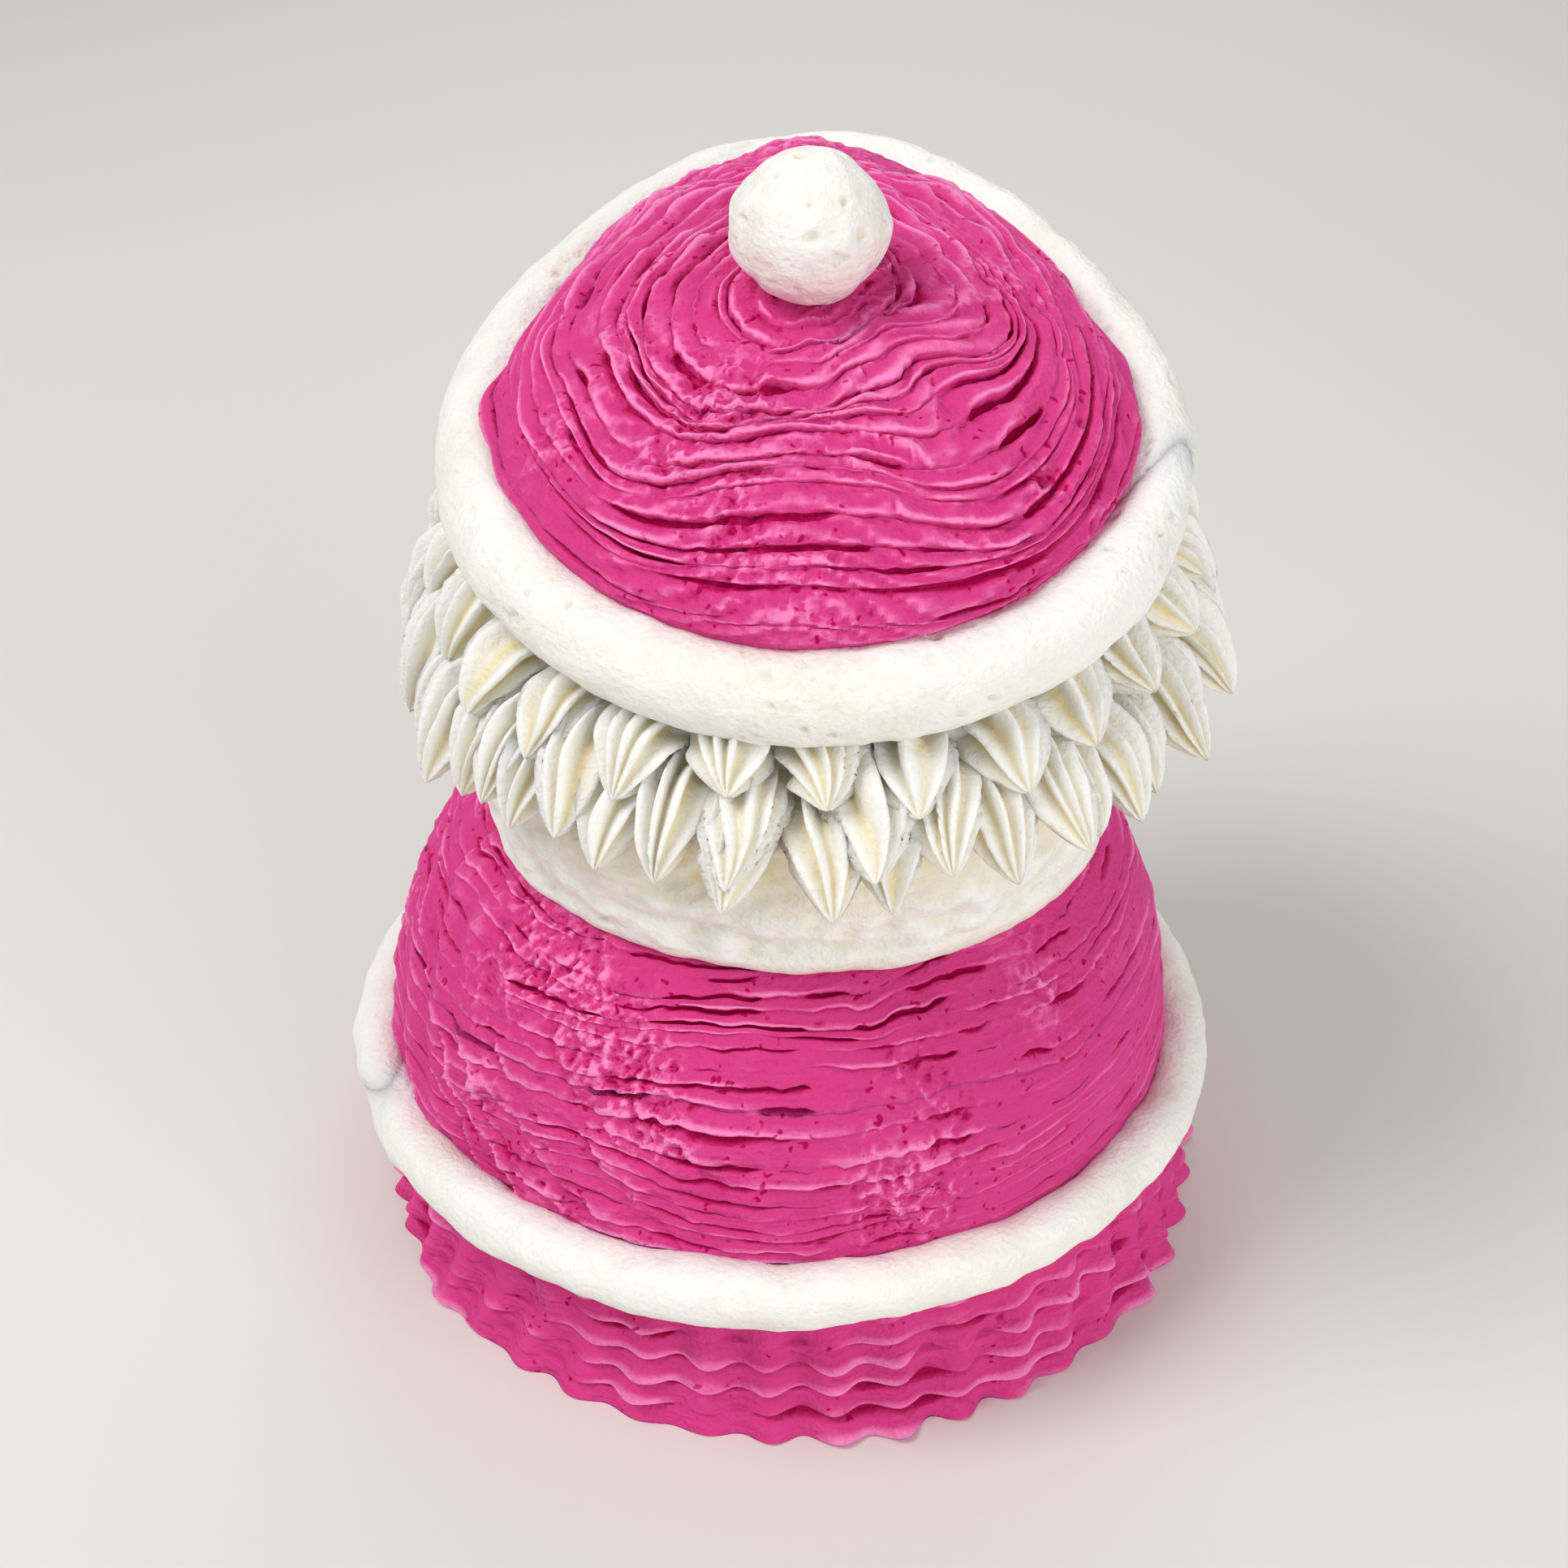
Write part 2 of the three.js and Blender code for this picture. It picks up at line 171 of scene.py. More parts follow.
class Finish:
    # one material with its nodes
    def __init__(self, name):
        self.material = bpy.data.materials.new(name)
        self.material.use_nodes = True
        self.tree = self.material.node_tree
        self.shader = self.tree.nodes["Principled BSDF"]

    def feed(self, socket, value):
        if isinstance(value, Flow):
            self.tree.links.new(value.socket, socket)
        else:
            socket.default_value = value

    def node(self, kind, settings, sockets, output=0):
        made = self.tree.nodes.new(kind)
        for name, value in settings.items():
            setattr(made, name, value)
        for name, value in sockets.items():
            self.feed(made.inputs[name], value)
        return Flow(self, made.outputs[output])

    def objectPlace(self):
        return self.node("ShaderNodeTexCoord", {}, {}, "Object")

    def noise(self, size, detail, drawn=1.0):
        # lumps of that size, drawn out sideways
        scale = np.array([1 / drawn, 1 / drawn, 1.0]) / (size * millimetre)
        sockets = {0: self.objectPlace(), 1: scale}
        place = self.node("ShaderNodeVectorMath", {"operation": "MULTIPLY"}, sockets)
        return self.node("ShaderNodeTexNoise", {}, {"Vector": place, "Scale": 1.0, "Detail": detail})

    def holes(self, size):
        # distance to the nearest of many scattered points, 0 at a point, pushed out of shape by noise
        scale = 1 / (size * millimetre)
        pushScale = 1.6 * scale
        pushReach = 0.9 * size * millimetre
        place = self.objectPlace()
        sockets = {"Vector": place, "Scale": pushScale, "Detail": 0.0}
        push = self.node("ShaderNodeTexNoise", {}, sockets, "Color")
        sockets = {0: push, 1: (pushReach, pushReach, pushReach), 2: place}
        crooked = self.node("ShaderNodeVectorMath", {"operation": "MULTIPLY_ADD"}, sockets)
        return self.node("ShaderNodeTexVoronoi", {}, {"Vector": crooked, "Scale": scale})

    def ramp(self, value, low, high):
        # 0 below low, 1 above high
        settings = {"interpolation_type": "SMOOTHSTEP"}
        return self.node("ShaderNodeMapRange", settings, {"Value": value, "From Min": low, "From Max": high})

    def mix(self, factor, first, second):
        return self.node("ShaderNodeMix", {"data_type": "RGBA"}, {0: factor, 6: first, 7: second}, 2)

    def paint(self, **sockets):
        for name, value in sockets.items():
            self.feed(self.shader.inputs[name.replace("_", " ")], value)


def srgb(red, green, blue):
    # screen colour from 0 to 255 to the linear colour that nodes take
    c = np.array([red, green, blue]) / 255
    linear = np.where(c <= 0.04045, c / 12.92, ((c + 0.055) / 1.055) ** 2.4)
    return (*linear.tolist(), 1.0)


creamSteps = {  # where each change of a cream's look begins and ends
    "rare": (0.46, 0.62),
    # painted shade in the bubbles of torn cream
    "bubbleShadeMask": (0.1, 0.6),
    # from the painted shade in creases to the cream's own colour
    "body": (0.02, 0.45),
    # from the cream's own colour to the painted highlight on ridges
    "ridge": (0.5, 1.0),
}
holeSlope = 0.16
streakDrawn = 7.0  # how many times longer than high the streaks are
tornLift = 0.2  # how much paler torn cream is
roughSpread = 0.12


def creamFinish(look):
    # colour goes from painted shade in the creases through the cream's own colour to a painted highlight on
    # the ridges by the piece's painted light, clouded by noise, with painted shade in tiny air holes and in
    # the bubbles of torn cream; the bump has fine grain and streaks drawn out sideways
    finish = Finish(look["name"])
    paintedLight = finish.node("ShaderNodeAttribute", {"attribute_name": "paintedLight"}, {}, "Fac")
    cloud = finish.noise(look["cloudSize"], 1.0)
    grain = finish.noise(look["grainSize"], 2.0)
    streak = finish.noise(look["streakSize"], 1.0, streakDrawn)
    holes = finish.ramp(finish.holes(look["holeSize"]), look["holeEdge"], look["holeEdge"] + holeSlope)
    rare = finish.ramp(finish.noise(look["holeCloud"], 0.0), *creamSteps["rare"])
    # painted shade in tiny air holes
    holeShadeMask = rare * (1 - holes)
    torn = finish.node("ShaderNodeAttribute", {"attribute_name": "torn"}, {}, "Fac")
    # painted shade in the bubbles of torn cream
    bubbleShadeMask = torn * (1 - finish.ramp(finish.holes(look["bubbleSize"]), *creamSteps["bubbleShadeMask"]))
    level = paintedLight + (cloud - 0.5) * look["cloudStrength"] + (grain - 0.5) * look["grainStrength"]
    level = level + (streak - 0.5) * look["streakStrength"] - holeShadeMask * look["holeStrength"]
    level = level + torn * tornLift - bubbleShadeMask * look["bubbleStrength"]
    # painted shade in creases, then the cream's own colour, then a painted highlight on ridges
    low = finish.mix(finish.ramp(level, *creamSteps["body"]), srgb(*look["crease"]), srgb(*look["body"]))
    color = finish.mix(finish.ramp(level, *creamSteps["ridge"]), low, srgb(*look["ridge"]))
    height = grain * look["grainHeight"] + streak * look["streakHeight"]
    normal = finish.node("ShaderNodeBump", {}, {"Height": height, "Strength": 1.0, "Distance": millimetre})
    roughness = look["roughness"] + (cloud - 0.5) * roughSpread
    finish.paint(Base_Color=color, Normal=normal, Roughness=roughness)
    finish.paint(Subsurface_Weight=look["glow"], Subsurface_Scale=look["glowReach"] * millimetre)
    finish.paint(Subsurface_Radius=look["glowColor"], Specular_IOR_Level=look["gloss"])
    return finish.material


berryLook = {
    "name": "berryCream",
    # crease: painted shade; body: the cream's own colour; ridge: painted highlight
    "crease": (182, 0, 84),
    "body": (216, 64, 138),
    "ridge": (253, 142, 199),
    "cloudSize": 14,
    "cloudStrength": 0.3,
    "grainSize": 0.8,
    "grainStrength": 0.16,
    "grainHeight": 0.45,
    "streakSize": 0.9,
    "streakStrength": 0.25,
    "streakHeight": 0.5,
    "holeSize": 2.1,
    "holeEdge": 0.1,
    "holeCloud": 8,
    "holeStrength": 0.6,
    "bubbleSize": 1.15,
    "bubbleStrength": 0.5,
    "roughness": 0.68,
    "glow": 0.42,
    "glowReach": 1.4,
    "glowColor": (1.0, 0.35, 0.45),
    "gloss": 0.1,
}

whiteLook = {
    "name": "whiteCream",
    # crease: painted warm shade; body: the cream's own colour; ridge: painted highlight
    "crease": (240, 222, 170),
    "body": (236, 231, 216),
    "ridge": (246, 246, 242),
    "cloudSize": 12,
    "cloudStrength": 0.2,
    "grainSize": 0.8,
    "grainStrength": 0.08,
    "grainHeight": 0.35,
    "streakSize": 1.2,
    "streakStrength": 0.06,
    "streakHeight": 0.15,
    "holeSize": 1.9,
    "holeEdge": 0.12,
    "holeCloud": 9,
    "holeStrength": 0.12,
    "bubbleSize": 1.3,
    "bubbleStrength": 0.3,
    "roughness": 0.5,
    "glow": 0.45,
    "glowReach": 1.8,
    "glowColor": (1.0, 0.88, 0.62),
    "gloss": 0.35,
}

berryCream = creamFinish(berryLook)
whiteCream = creamFinish(whiteLook)


# Meshes

def pieceFromRows(name, points, paintedLight, torn, finish, slotName, node):
    # rows of points that each close round: four-sided faces between rows, and a fan of triangles
    # to the middle of the first and of the last row; painted light, from painted shade at 0 to a painted
    # highlight at 1, and torn, both from 0 to 1, drive the finish
    rows, columns, _ = points.shape
    index = np.arange(rows * columns).reshape(rows, columns)
    beside = np.roll(index, -1, axis=1)
    first, last = rows * columns, rows * columns + 1
    sides = np.stack([index[:-1], beside[:-1], beside[1:], index[1:]], -1).reshape(-1, 4)
    bottom = np.stack([np.full(columns, first), beside[0], index[0]], -1)
    top = np.stack([np.full(columns, last), index[-1], beside[-1]], -1)
    ends = np.stack([points[0].mean(0), points[-1].mean(0)])
    vertices = np.concatenate([points.reshape(-1, 3), ends]) * millimetre
    mesh = bpy.data.meshes.new(name)
    mesh.from_pydata(vertices, [], sides.tolist() + bottom.tolist() + top.tolist())
    mesh.shade_smooth()
    for attribute, values in (("paintedLight", paintedLight), ("torn", torn)):
        values = np.clip(np.broadcast_to(values, (rows, columns)), 0, 1).reshape(-1)
        values = np.concatenate([values, [0.5, 0.5]]).astype(np.float32)
        mesh.attributes.new(attribute, "FLOAT", "POINT").data.foreach_set("value", values)
    mesh.materials.append(finish)
    piece = bpy.data.objects.new(name, mesh)
    bpy.context.scene.collection.objects.link(piece)
    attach(piece, "root")
    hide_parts(node)


# Ribbons of cream piled on a surface. From below, a ribbon has two rows at the back of the slot under it,
# its lip from below and in front, rows up its hollow face, and the edge where the next slot begins

faceShares = (0.32, 0.62)  # where the rows up a face lie
ribbonRows = 5 + len(faceShares)

ribbonNoise = {  # length along a ribbon in millimetres, ribbons across, and a seed
    "slant": (30, 6.5, 1),
    "meander": (13, 2.2, 2),
    "wiggle": (4.5, 0.9, 3),
    "lip": (11, 0.9, 4),
    "phase": (40, 4, 6),
    "ragged": (1.7, 0.7, 7),
    "swing": (14, 1.4, 8),
}

ribbon = {
    "lipMean": 0.45,
    "lipSwing": 1.4,
    "lipMost": 1.4,
    "slotAcross": 0.8,  # how many ribbons a slot's noise spans
    "slotFrom": 0.12,  # noise where a slot begins to open
    "slotTo": 0.45,
    "swingMean": 0.8,
    "swingSpread": 0.7,
    "calmLength": 0.25,  # share of the height over which the ribbons calm down
    "calmLeft": 0.3,  # what is left of wandering and lips where they are calm
    "lowest": 0.3,  # height of a ribbon where two run together
    # strength of the painted shade in slots and under lips and of the painted highlight on lips
    "paintedRowLight": 0.66,
}


def ribbonEdges(look, ruffle, lipShare, slotShare):
    # the edges between ribbons, from below: lines that wander by noise of several sizes, lips that swell and
    # fade by noise, long slots where another noise is high, and waves that are a cosine round the piece
    layers = look["layers"]
    angle = ringAngles(look["columns"])
    edge = np.arange(layers + 1)[:, None]
    level = edge / layers

    def wander(along, across, seed):
        ring = look["girth"] / along
        spot = pointsFrom(ring * np.cos(angle), ring * np.sin(angle), edge / across)
        return softNoise(spot, 1.0, look["seed"] + seed)

    heights = 1 + look["spread"] * scatter(np.arange(layers), look["seed"])
    base = (np.concatenate([[0], np.cumsum(heights)]) * layers / heights.sum())[:, None]
    inside = np.sin(np.pi * np.clip(level, 0.02, 0.98)) ** 0.6
    lively = 1 - easeStep(level, look["calmFrom"], look["calmFrom"] + ribbon["calmLength"])
    left = ribbon["calmLeft"] + (1 - ribbon["calmLeft"]) * lively
    drift = look["slant"] * wander(*ribbonNoise["slant"]) + look["meander"] * wander(*ribbonNoise["meander"])
    drift = drift * inside * left + look["wiggle"] * wander(*ribbonNoise["wiggle"]) * lively
    ragged = look["ragged"] * wander(*ribbonNoise["ragged"]) * lively
    swell = ribbon["lipMean"] + ribbon["lipSwing"] * wander(*ribbonNoise["lip"])
    lip = np.clip(swell, 0, ribbon["lipMost"]) * lipShare(angle, level) * left
    opening = wander(look["slotLength"], ribbon["slotAcross"], 5) + slotShare(angle, level)
    slot = easeStep(opening, ribbon["slotFrom"], ribbon["slotTo"]) * lively
    phase = look["waveStep"] * edge + look["waveDrift"] * wander(*ribbonNoise["phase"])
    uneven = ribbon["swingMean"] + ribbon["swingSpread"] * wander(*ribbonNoise["swing"])
    swing = ruffle(angle, level) * uneven * lively
    wave = swing * np.cos(look["waves"] * angle + phase)
    drift[0], ragged[0], slot[0] = 0, 0, 0  # the lowest edge lies flat
    depth = look["crease"] * lip * (edge > 0) + look["slotDepth"] * slot
    return base + drift, ragged, lip, slot, depth, wave, 1 - lively


def piledRibbons(place, look, edges):
    # place(angle, arc) is the surface. The rows of a ribbon lie between the edges below and above it, and
    # stand out by its lip and by the waves, which are less in the creases. Gives points, outward directions
    # and painted light: painted shade in slots and a painted highlight on lips
    line, ragged, lip, slot, depth, wave, calm = edges
    tall = np.maximum(np.diff(line, axis=0), ribbon["lowest"])
    opened, above = slot[:-1], slot[1:]
    lipBelow, lipAbove, sunk = lip[:-1], lip[1:], depth[:-1]
    hang = np.clip(1.5 * sunk, 0, 1)
    low, high = ragged[:-1], ragged[1:]
    calmBelow, calmAbove = calm[:-1], calm[1:]
    up = np.stack([
        low - 0.08 - 0.06 * opened - 0.06 * calmBelow,  # back of the slot, below and above
        low - 0.05 + (0.08 + 0.1 * opened) * hang,
        low - 0.02 + 0.12 * opened + 0.07 * calmBelow,  # lip from below and in front
        low + 0.07 + 0.11 * opened + 0.1 * calmBelow,
        *(np.full(opened.shape, share) for share in faceShares),
        high + 0.88 - 0.12 * above - 0.1 * calmAbove,  # edge at the next slot
    ], 1)
    arc = look["start"] + look["pitch"] * (line[:-1, None] + tall[:, None] * up)
    face = [look["face"] * (1 - share) ** look["hollow"] * lipBelow for share in faceShares]
    stand = np.stack([-sunk, -sunk, 0.65 * lipBelow, lipBelow, *face, -0.1 * lipAbove], 1)
    # painted light by row: painted shade in the slot, on the upper face and under the next lip; painted
    # highlight on the lip
    paintedFaceLight = [(0.24 - 0.5 * share) * lipBelow for share in faceShares]
    paintedEdgeShade = -0.2 * lipAbove - 0.3 * above
    paintedRowLight = np.stack([-1.2 * sunk, -1.2 * sunk, 0.2 * lipBelow, 0.8 * lipBelow, *paintedFaceLight, paintedEdgeShade], 1)
    tuck = look["tuck"]
    faceKeep = [(share, 1 - (1 - tuck) * share) for share in faceShares]
    keep = [(0, tuck), (0, tuck), (0, 1), (0, 1), *faceKeep, (1, tuck)]
    waves = np.stack([kept * ((1 - share) * wave[:-1] + share * wave[1:]) for share, kept in keep], 1)
    points, outward = surfaceFrame(place, ringAngles(look["columns"])[None], arc)
    points = points + outward * (look["lip"] * stand + look["waveDepth"] * waves)[..., None]
    # painted shade in slots and under lips, painted highlight on lips and on wave crests
    paintedLight = 0.5 + ribbon["paintedRowLight"] * paintedRowLight + look["paintedWaveLight"] * waves
    shape = (look["layers"] * ribbonRows, look["columns"])
    return points.reshape(*shape, 3), outward.reshape(*shape, 3), paintedLight.reshape(shape)


flake = {
    "push": (0.3, 0.45),  # how far noise moves the cells, along and across
    "pushSize": 5,
    "margin": 0.15,
    "jitter": 0.7,
    "uneven": 0.9,
    "lean": 0.8,
    "slope": 0.2,
}


def flakes(points, around, up, skin, seeds):
    # overlapping flakes in cells of one unit that slant up round the piece: a point belongs to the nearest of
    # the jittered middles, whose flake leans out towards its lower edge and stands at a height of its own;
    # a short slope leads to the next one. The cells repeat after one lap
    alongSeed, acrossSeed, seed = seeds
    lapAlong, lapAcross = skin["flakeLaps"]
    alongPush, acrossPush = flake["push"]
    along = lapAlong * around - skin["flakeSlant"] * up
    along = along + alongPush * softNoise(points, flake["pushSize"], alongSeed)
    across = lapAcross * around + skin["flakeRise"] * up
    across = across + acrossPush * softNoise(points, flake["pushSize"], acrossSeed)
    nearest, second = np.full((2, *along.shape), 9.0)
    height, nextHeight = np.zeros((2, *along.shape))
    for stepAlong, stepAcross in itertools.product((-1, 0, 1), repeat=2):
        a = np.floor(along) + stepAlong
        b = np.floor(across) + stepAcross
        lap = np.floor(a / lapAlong)
        key = np.stack([a - lap * lapAlong, b - lap * lapAcross, 0 * a], -1).astype(np.int64)
        da = along - a - flake["margin"] - flake["jitter"] * cellShare(key, seed)
        db = across - b - flake["margin"] - flake["jitter"] * cellShare(key, seed + 1)
        away = np.hypot(da, db)
        stand = flake["uneven"] * cellShare(key, seed + 2) - flake["uneven"] / 2 - flake["lean"] * db
        closer = away < nearest
        nextHeight = np.where(closer, height, np.where(away < second, stand, nextHeight))
        second = np.where(closer, nearest, np.minimum(second, away))
        height = np.where(closer, stand, height)
        nearest = np.minimum(away, nearest)
    own = 0.5 + 0.5 * easeStep(second - nearest, 0, flake["slope"])
    return own * height + (1 - own) * nextHeight


tornLook = {
    "crookSize": 1.7,
    "crook": 0.8,
    "bubbleSize": 3.4,
    "bubbleShare": 0.8,
    "smallSize": 2.2,
    "smallShare": 0.7,
    "smallDepth": 0.8,
    "bubbleWide": 1.9,
    "bubbleDepth": 0.7,
    "crestSize": 3.4,
    "crestHeight": 0.5,
    "fineSize": 1.9,
    "fineHeight": 0.35,
    "patchSize": 8.0,
}


def tornCream(points, spots, seed):
    # round each spot, as strong as a bell curve with ragged edges: thin crests where noise crosses 0,
    # bubbles, and a hollow or a bump. Gives the change in height and how torn the cream is
    look = tornLook
    crooked = crookedPoints(points, look["crookSize"], look["crook"], seed + 40)
    large = pits(crooked, look["bubbleSize"], seed + 10, look["bubbleShare"], look["bubbleWide"])
    small = pits(crooked, look["smallSize"], seed + 20, look["smallShare"], look["bubbleWide"])
    bubbles = np.maximum(large, look["smallDepth"] * small)
    crests = 1 - 3 * np.abs(softNoise(crooked, look["crestSize"], seed))
    fineCrests = 1 - 3 * np.abs(softNoise(crooked, look["fineSize"], seed + 1))
    crumbs = look["crestHeight"] * crests + look["fineHeight"] * fineCrests - look["bubbleDepth"] * bubbles
    ragged = 0.7 + 0.6 * softNoise(points, look["patchSize"], seed + 30)
    change = np.zeros(points.shape[:-1])
    torn = np.zeros(points.shape[:-1])
    for spot in spots:
        near = ragged * np.exp(-(np.linalg.norm(points - spot["at"], axis=-1) / spot["reach"]) ** 2)
        change += near * (spot["rough"] * crumbs - spot["sink"])
        torn += near * spot["rough"]
    return change, torn


def bell(angle, middle, width):
    # 1 at an angle in degrees, falling off as a bell of that width
    away = np.abs((np.degrees(angle) - middle + 180) % 360 - 180)
    return np.exp(-(away / width) ** 2)


# Drum and skirt

drum = {
    "radius": 57.0,
    "height": 66.1,
    "domeHeight": 71.5,
    "shoulderPower": 3.9,
    "footFlare": 3.8,
    "flareFade": 9.0,
    "skirtAside": 1.7,
    "asideFrom": 8.0,
    "asideTo": 34.0,
    "flatTop": 24.0,  # how far in the ribbons may go on top
    "steps": 2400,
}


def drumProfile():
    # radius by height: a squared dome and a foot that flares out, then the flat top;
    # with the length along it
    dome = np.linspace(0, drum["height"], drum["steps"])
    swell = (1 - (dome / drum["domeHeight"]) ** drum["shoulderPower"]) ** (1 / drum["shoulderPower"])
    wall = drum["radius"] * swell + drum["footFlare"] * np.exp(-dome / drum["flareFade"])
    inwards = np.linspace(wall[-1], wall[-1] - drum["flatTop"], 400)[1:]
    height = np.concatenate([dome, np.full(inwards.size, drum["height"])])
    radius = np.concatenate([wall, inwards])
    arc = np.concatenate([[0], np.cumsum(np.hypot(np.diff(height), np.diff(radius)))])
    return arc, height, radius


wallArc, wallHeight, wallRadius = drumProfile()


def wallPoint(angle, arc):
    # the profile turned about the upright axis, which moves aside towards the foot; where the arc is below 0
    # the wall goes straight down
    height = np.interp(arc, wallArc, wallHeight) + np.minimum(arc, 0)
    radius = np.interp(arc, wallArc, wallRadius)
    aside = drum["skirtAside"] * (1 - easeStep(height, drum["asideFrom"], drum["asideTo"]))
    return pointsFrom(radius * np.cos(angle) + aside, radius * np.sin(angle), height)


def wallSpot(degrees, height, reach, rough, sink):
    # a torn spot on the drum's wall, by angle and height
    arc = np.interp(height, wallHeight[:drum["steps"]], wallArc[:drum["steps"]])
    return {"at": wallPoint(np.radians(degrees), arc), "reach": reach, "rough": rough, "sink": sink}


wallLook = {
    "columns": 860,
    "layers": 22,
    "pieces": 2,
    "start": 26.2,
    "pitch": 2.25,
    "lip": 0.62,
    "face": 0.6,
    "hollow": 1.5,  # below 1 the ribbons are round, above 1 hollow
    "crease": 0.3,
    "slotDepth": 1.9,
    "slotLength": 7.5,
    "spread": 0.35,  # how unlike in height the ribbons are
    "slant": 1.5,
    "meander": 0.6,
    "wiggle": 0.2,
    "ragged": 0.13,
    "calmFrom": 2.0,  # share of the height above which the ribbons get even
    "waves": 30,
    "waveStep": 0.4,
    "waveDrift": 3.0,
    "waveDepth": 0.4,
    # painted highlight on wave crests and painted shade in troughs
    "paintedWaveLight": 0.08,
    "tuck": 0.7,  # share of the waves that is left in the creases
    "girth": 57,
    "seed": 100,
    "grain": 0.24,
    "slitDepth": 0.7,
    "flakes": 2.2,
}

skirtLook = {
    "columns": 880,
    "layers": 7,
    "pieces": 1,
    "start": 0.1,
    "pitch": 3.78,
    "lip": 1.2,
    "face": 0.6,
    "hollow": 1.5,
    "crease": 0.65,
    "slotDepth": 1.0,
    "slotLength": 12,
    "spread": 0.1,
    "slant": 0.2,
    "meander": 0.25,
    "wiggle": 0.08,
    "ragged": 0.03,
    "calmFrom": 2.0,
    "waves": 43,
    "waveStep": 0.25,
    "waveDrift": 2.6,
    "waveDepth": 1.5,
    # painted highlight on wave crests and painted shade in troughs
    "paintedWaveLight": 0.06,
    "tuck": 0.15,
    "girth": 60,
    "seed": 200,
    "grain": 0.14,
    "slitDepth": 0.5,
    "flakes": 0.2,
}

wallSpots = [wallSpot(*spot) for spot in (  # degrees, height, reach, roughness, sink
    (291, 54.8, 5.0, 0.9, 0.9),
    (224, 63.0, 9.0, 1.0, 0.0),
    (236, 58.0, 8.0, 1.0, 0.0),
    (247, 55.0, 7.0, 0.9, 0.0),
    (252, 47.0, 6.0, 0.8, 0.0),
    (288, 44.5, 8.0, 0.8, 0.0),
    (287, 36.0, 7.0, 0.9, 0.2),
    (222, 46.8, 8.0, 0.5, 0.0),
    (313, 58.2, 7.0, 0.6, 0.0),
    (239, 31.5, 3.5, 0.6, 1.0),
    (40, 52.0, 9.0, 0.9, 0.0),
    (95, 44.0, 9.0, 0.9, 0.2),
    (140, 57.0, 8.0, 1.0, 0.0),
    (170, 40.0, 7.0, 0.9, 0.0),
)]

wallSkin = {
    "flakePlaces": ((212, 38, 1.0), (75, 26, 0.8), (140, 20, 0.7)),  # degrees, width and strength
    "flakePatch": 14,
    "flakeLaps": (24, 44),  # flakes in one lap, along and across
    "flakeSlant": 0.044,
    "flakeRise": 0.19,
    "bareHeights": (52, 62),  # heights between which flakes get flatter
    "bare": 0.7,
    "drawn": np.array([0.35, 0.35, 1.0]),  # makes grain and slits longer along the ribbons
    "grainSize": 2.0,
    "slitSize": 2.3,
    "slitShare": 0.3,
    "paintedRidgeLight": 1.05,  # how much paler ridges are painted than hollows: painted highlight on ridges, painted shade in hollows
}


def makeWall(name, look, ruffle, lipShare, slotShare, spots):
    # piled ribbons, then square to the wall slanting flakes, grain and slits drawn out along the ribbons
    # and torn spots; cut between ribbons into pieces that share a row
    edges = ribbonEdges(look, ruffle, lipShare, slotShare)
    points, outward, paintedLight = piledRibbons(wallPoint, look, edges)
    skin, seed = wallSkin, look["seed"]
    around = (np.arange(look["columns"]) / look["columns"])[None, :]
    angle = around * fullTurn
    height = points[..., 2]
    flaky = sum(strength * bell(angle, middle, width) for middle, width, strength in skin["flakePlaces"])
    flaky = flaky * easeStep(softNoise(points, skin["flakePatch"], seed + 20), -0.6, 0.1)
    flaky = flaky * (1 - skin["bare"] * easeStep(height, *skin["bareHeights"]))
    leaf = flakes(points, around, height, skin, (seed + 27, seed + 28, seed + 25))
    drawn = points * skin["drawn"]
    slits = pits(drawn, skin["slitSize"], seed + 60, skin["slitShare"])
    crumbled, torn = tornCream(points, spots, seed + 40)
    change = look["flakes"] * flaky * leaf + look["grain"] * roughNoise(drawn, skin["grainSize"], seed + 30)
    change += crumbled - look["slitDepth"] * slits
    points = points + outward * change[..., None]
    # painted light from the change in height: painted highlight on raised edges, painted shade in hollows and
    # slits
    paintedLight = paintedLight + 0.1 * change + skin["paintedRidgeLight"] * standing(change)
    points[..., 2] = np.maximum(points[..., 2], 0)
    if look["start"] < 1:  # the skirt, whose lowest lip stands on the floor
        points[:2] = points[2] * np.array([0.99, 0.99, 0])
    foot = points[:1] * np.array([0.97, 0.97, 1])
    points = np.concatenate([foot, points])
    paintedLight = np.concatenate([paintedLight[:1], paintedLight])
    torn = np.concatenate([torn[:1], torn])
    tall = look["layers"] // look["pieces"] * ribbonRows
    for piece in range(look["pieces"]):
        rows = slice(piece * tall, (piece + 1) * tall + 1)
        part = points[rows], paintedLight[rows], torn[rows]
        pieceFromRows(f"{name}_{piece + 1}", *part, berryCream, "berry_cream", "body")


def wallRuffle(angle, level):
    # waves on the left
    return 0.1 + 0.9 * bell(angle, 210, 50)


def wallLips(angle, level):
    # flatter on the far left, where flakes lie instead, and on the right
    return 0.75 - 0.3 * bell(angle, 205, 25) - 0.35 * bell(angle, 325, 35)


def wallSlots(angle, level):
    # most of them in front, fewest on the right
    return 0.04 + 0.26 * bell(angle, 266, 28) - 0.25 * bell(angle, 322, 32) - 0.15 * bell(angle, 208, 28)


def skirtRuffle(angle, level):
    # deepest at the base and on the left
    return (1 - 0.6 * level) * (0.85 + 0.15 * np.cos(angle - np.radians(240)))


def skirtLips(angle, level):
    # the same all round
    return 1.0


def skirtSlots(angle, level):
    # few, anywhere
    return -0.1


makeWall("drumRibbons", wallLook, wallRuffle, wallLips, wallSlots, wallSpots)
makeWall("skirtRibbons", skirtLook, skirtRuffle, skirtLips, skirtSlots, [])
print("drum and skirt piped")


# Ropes: belt and brim

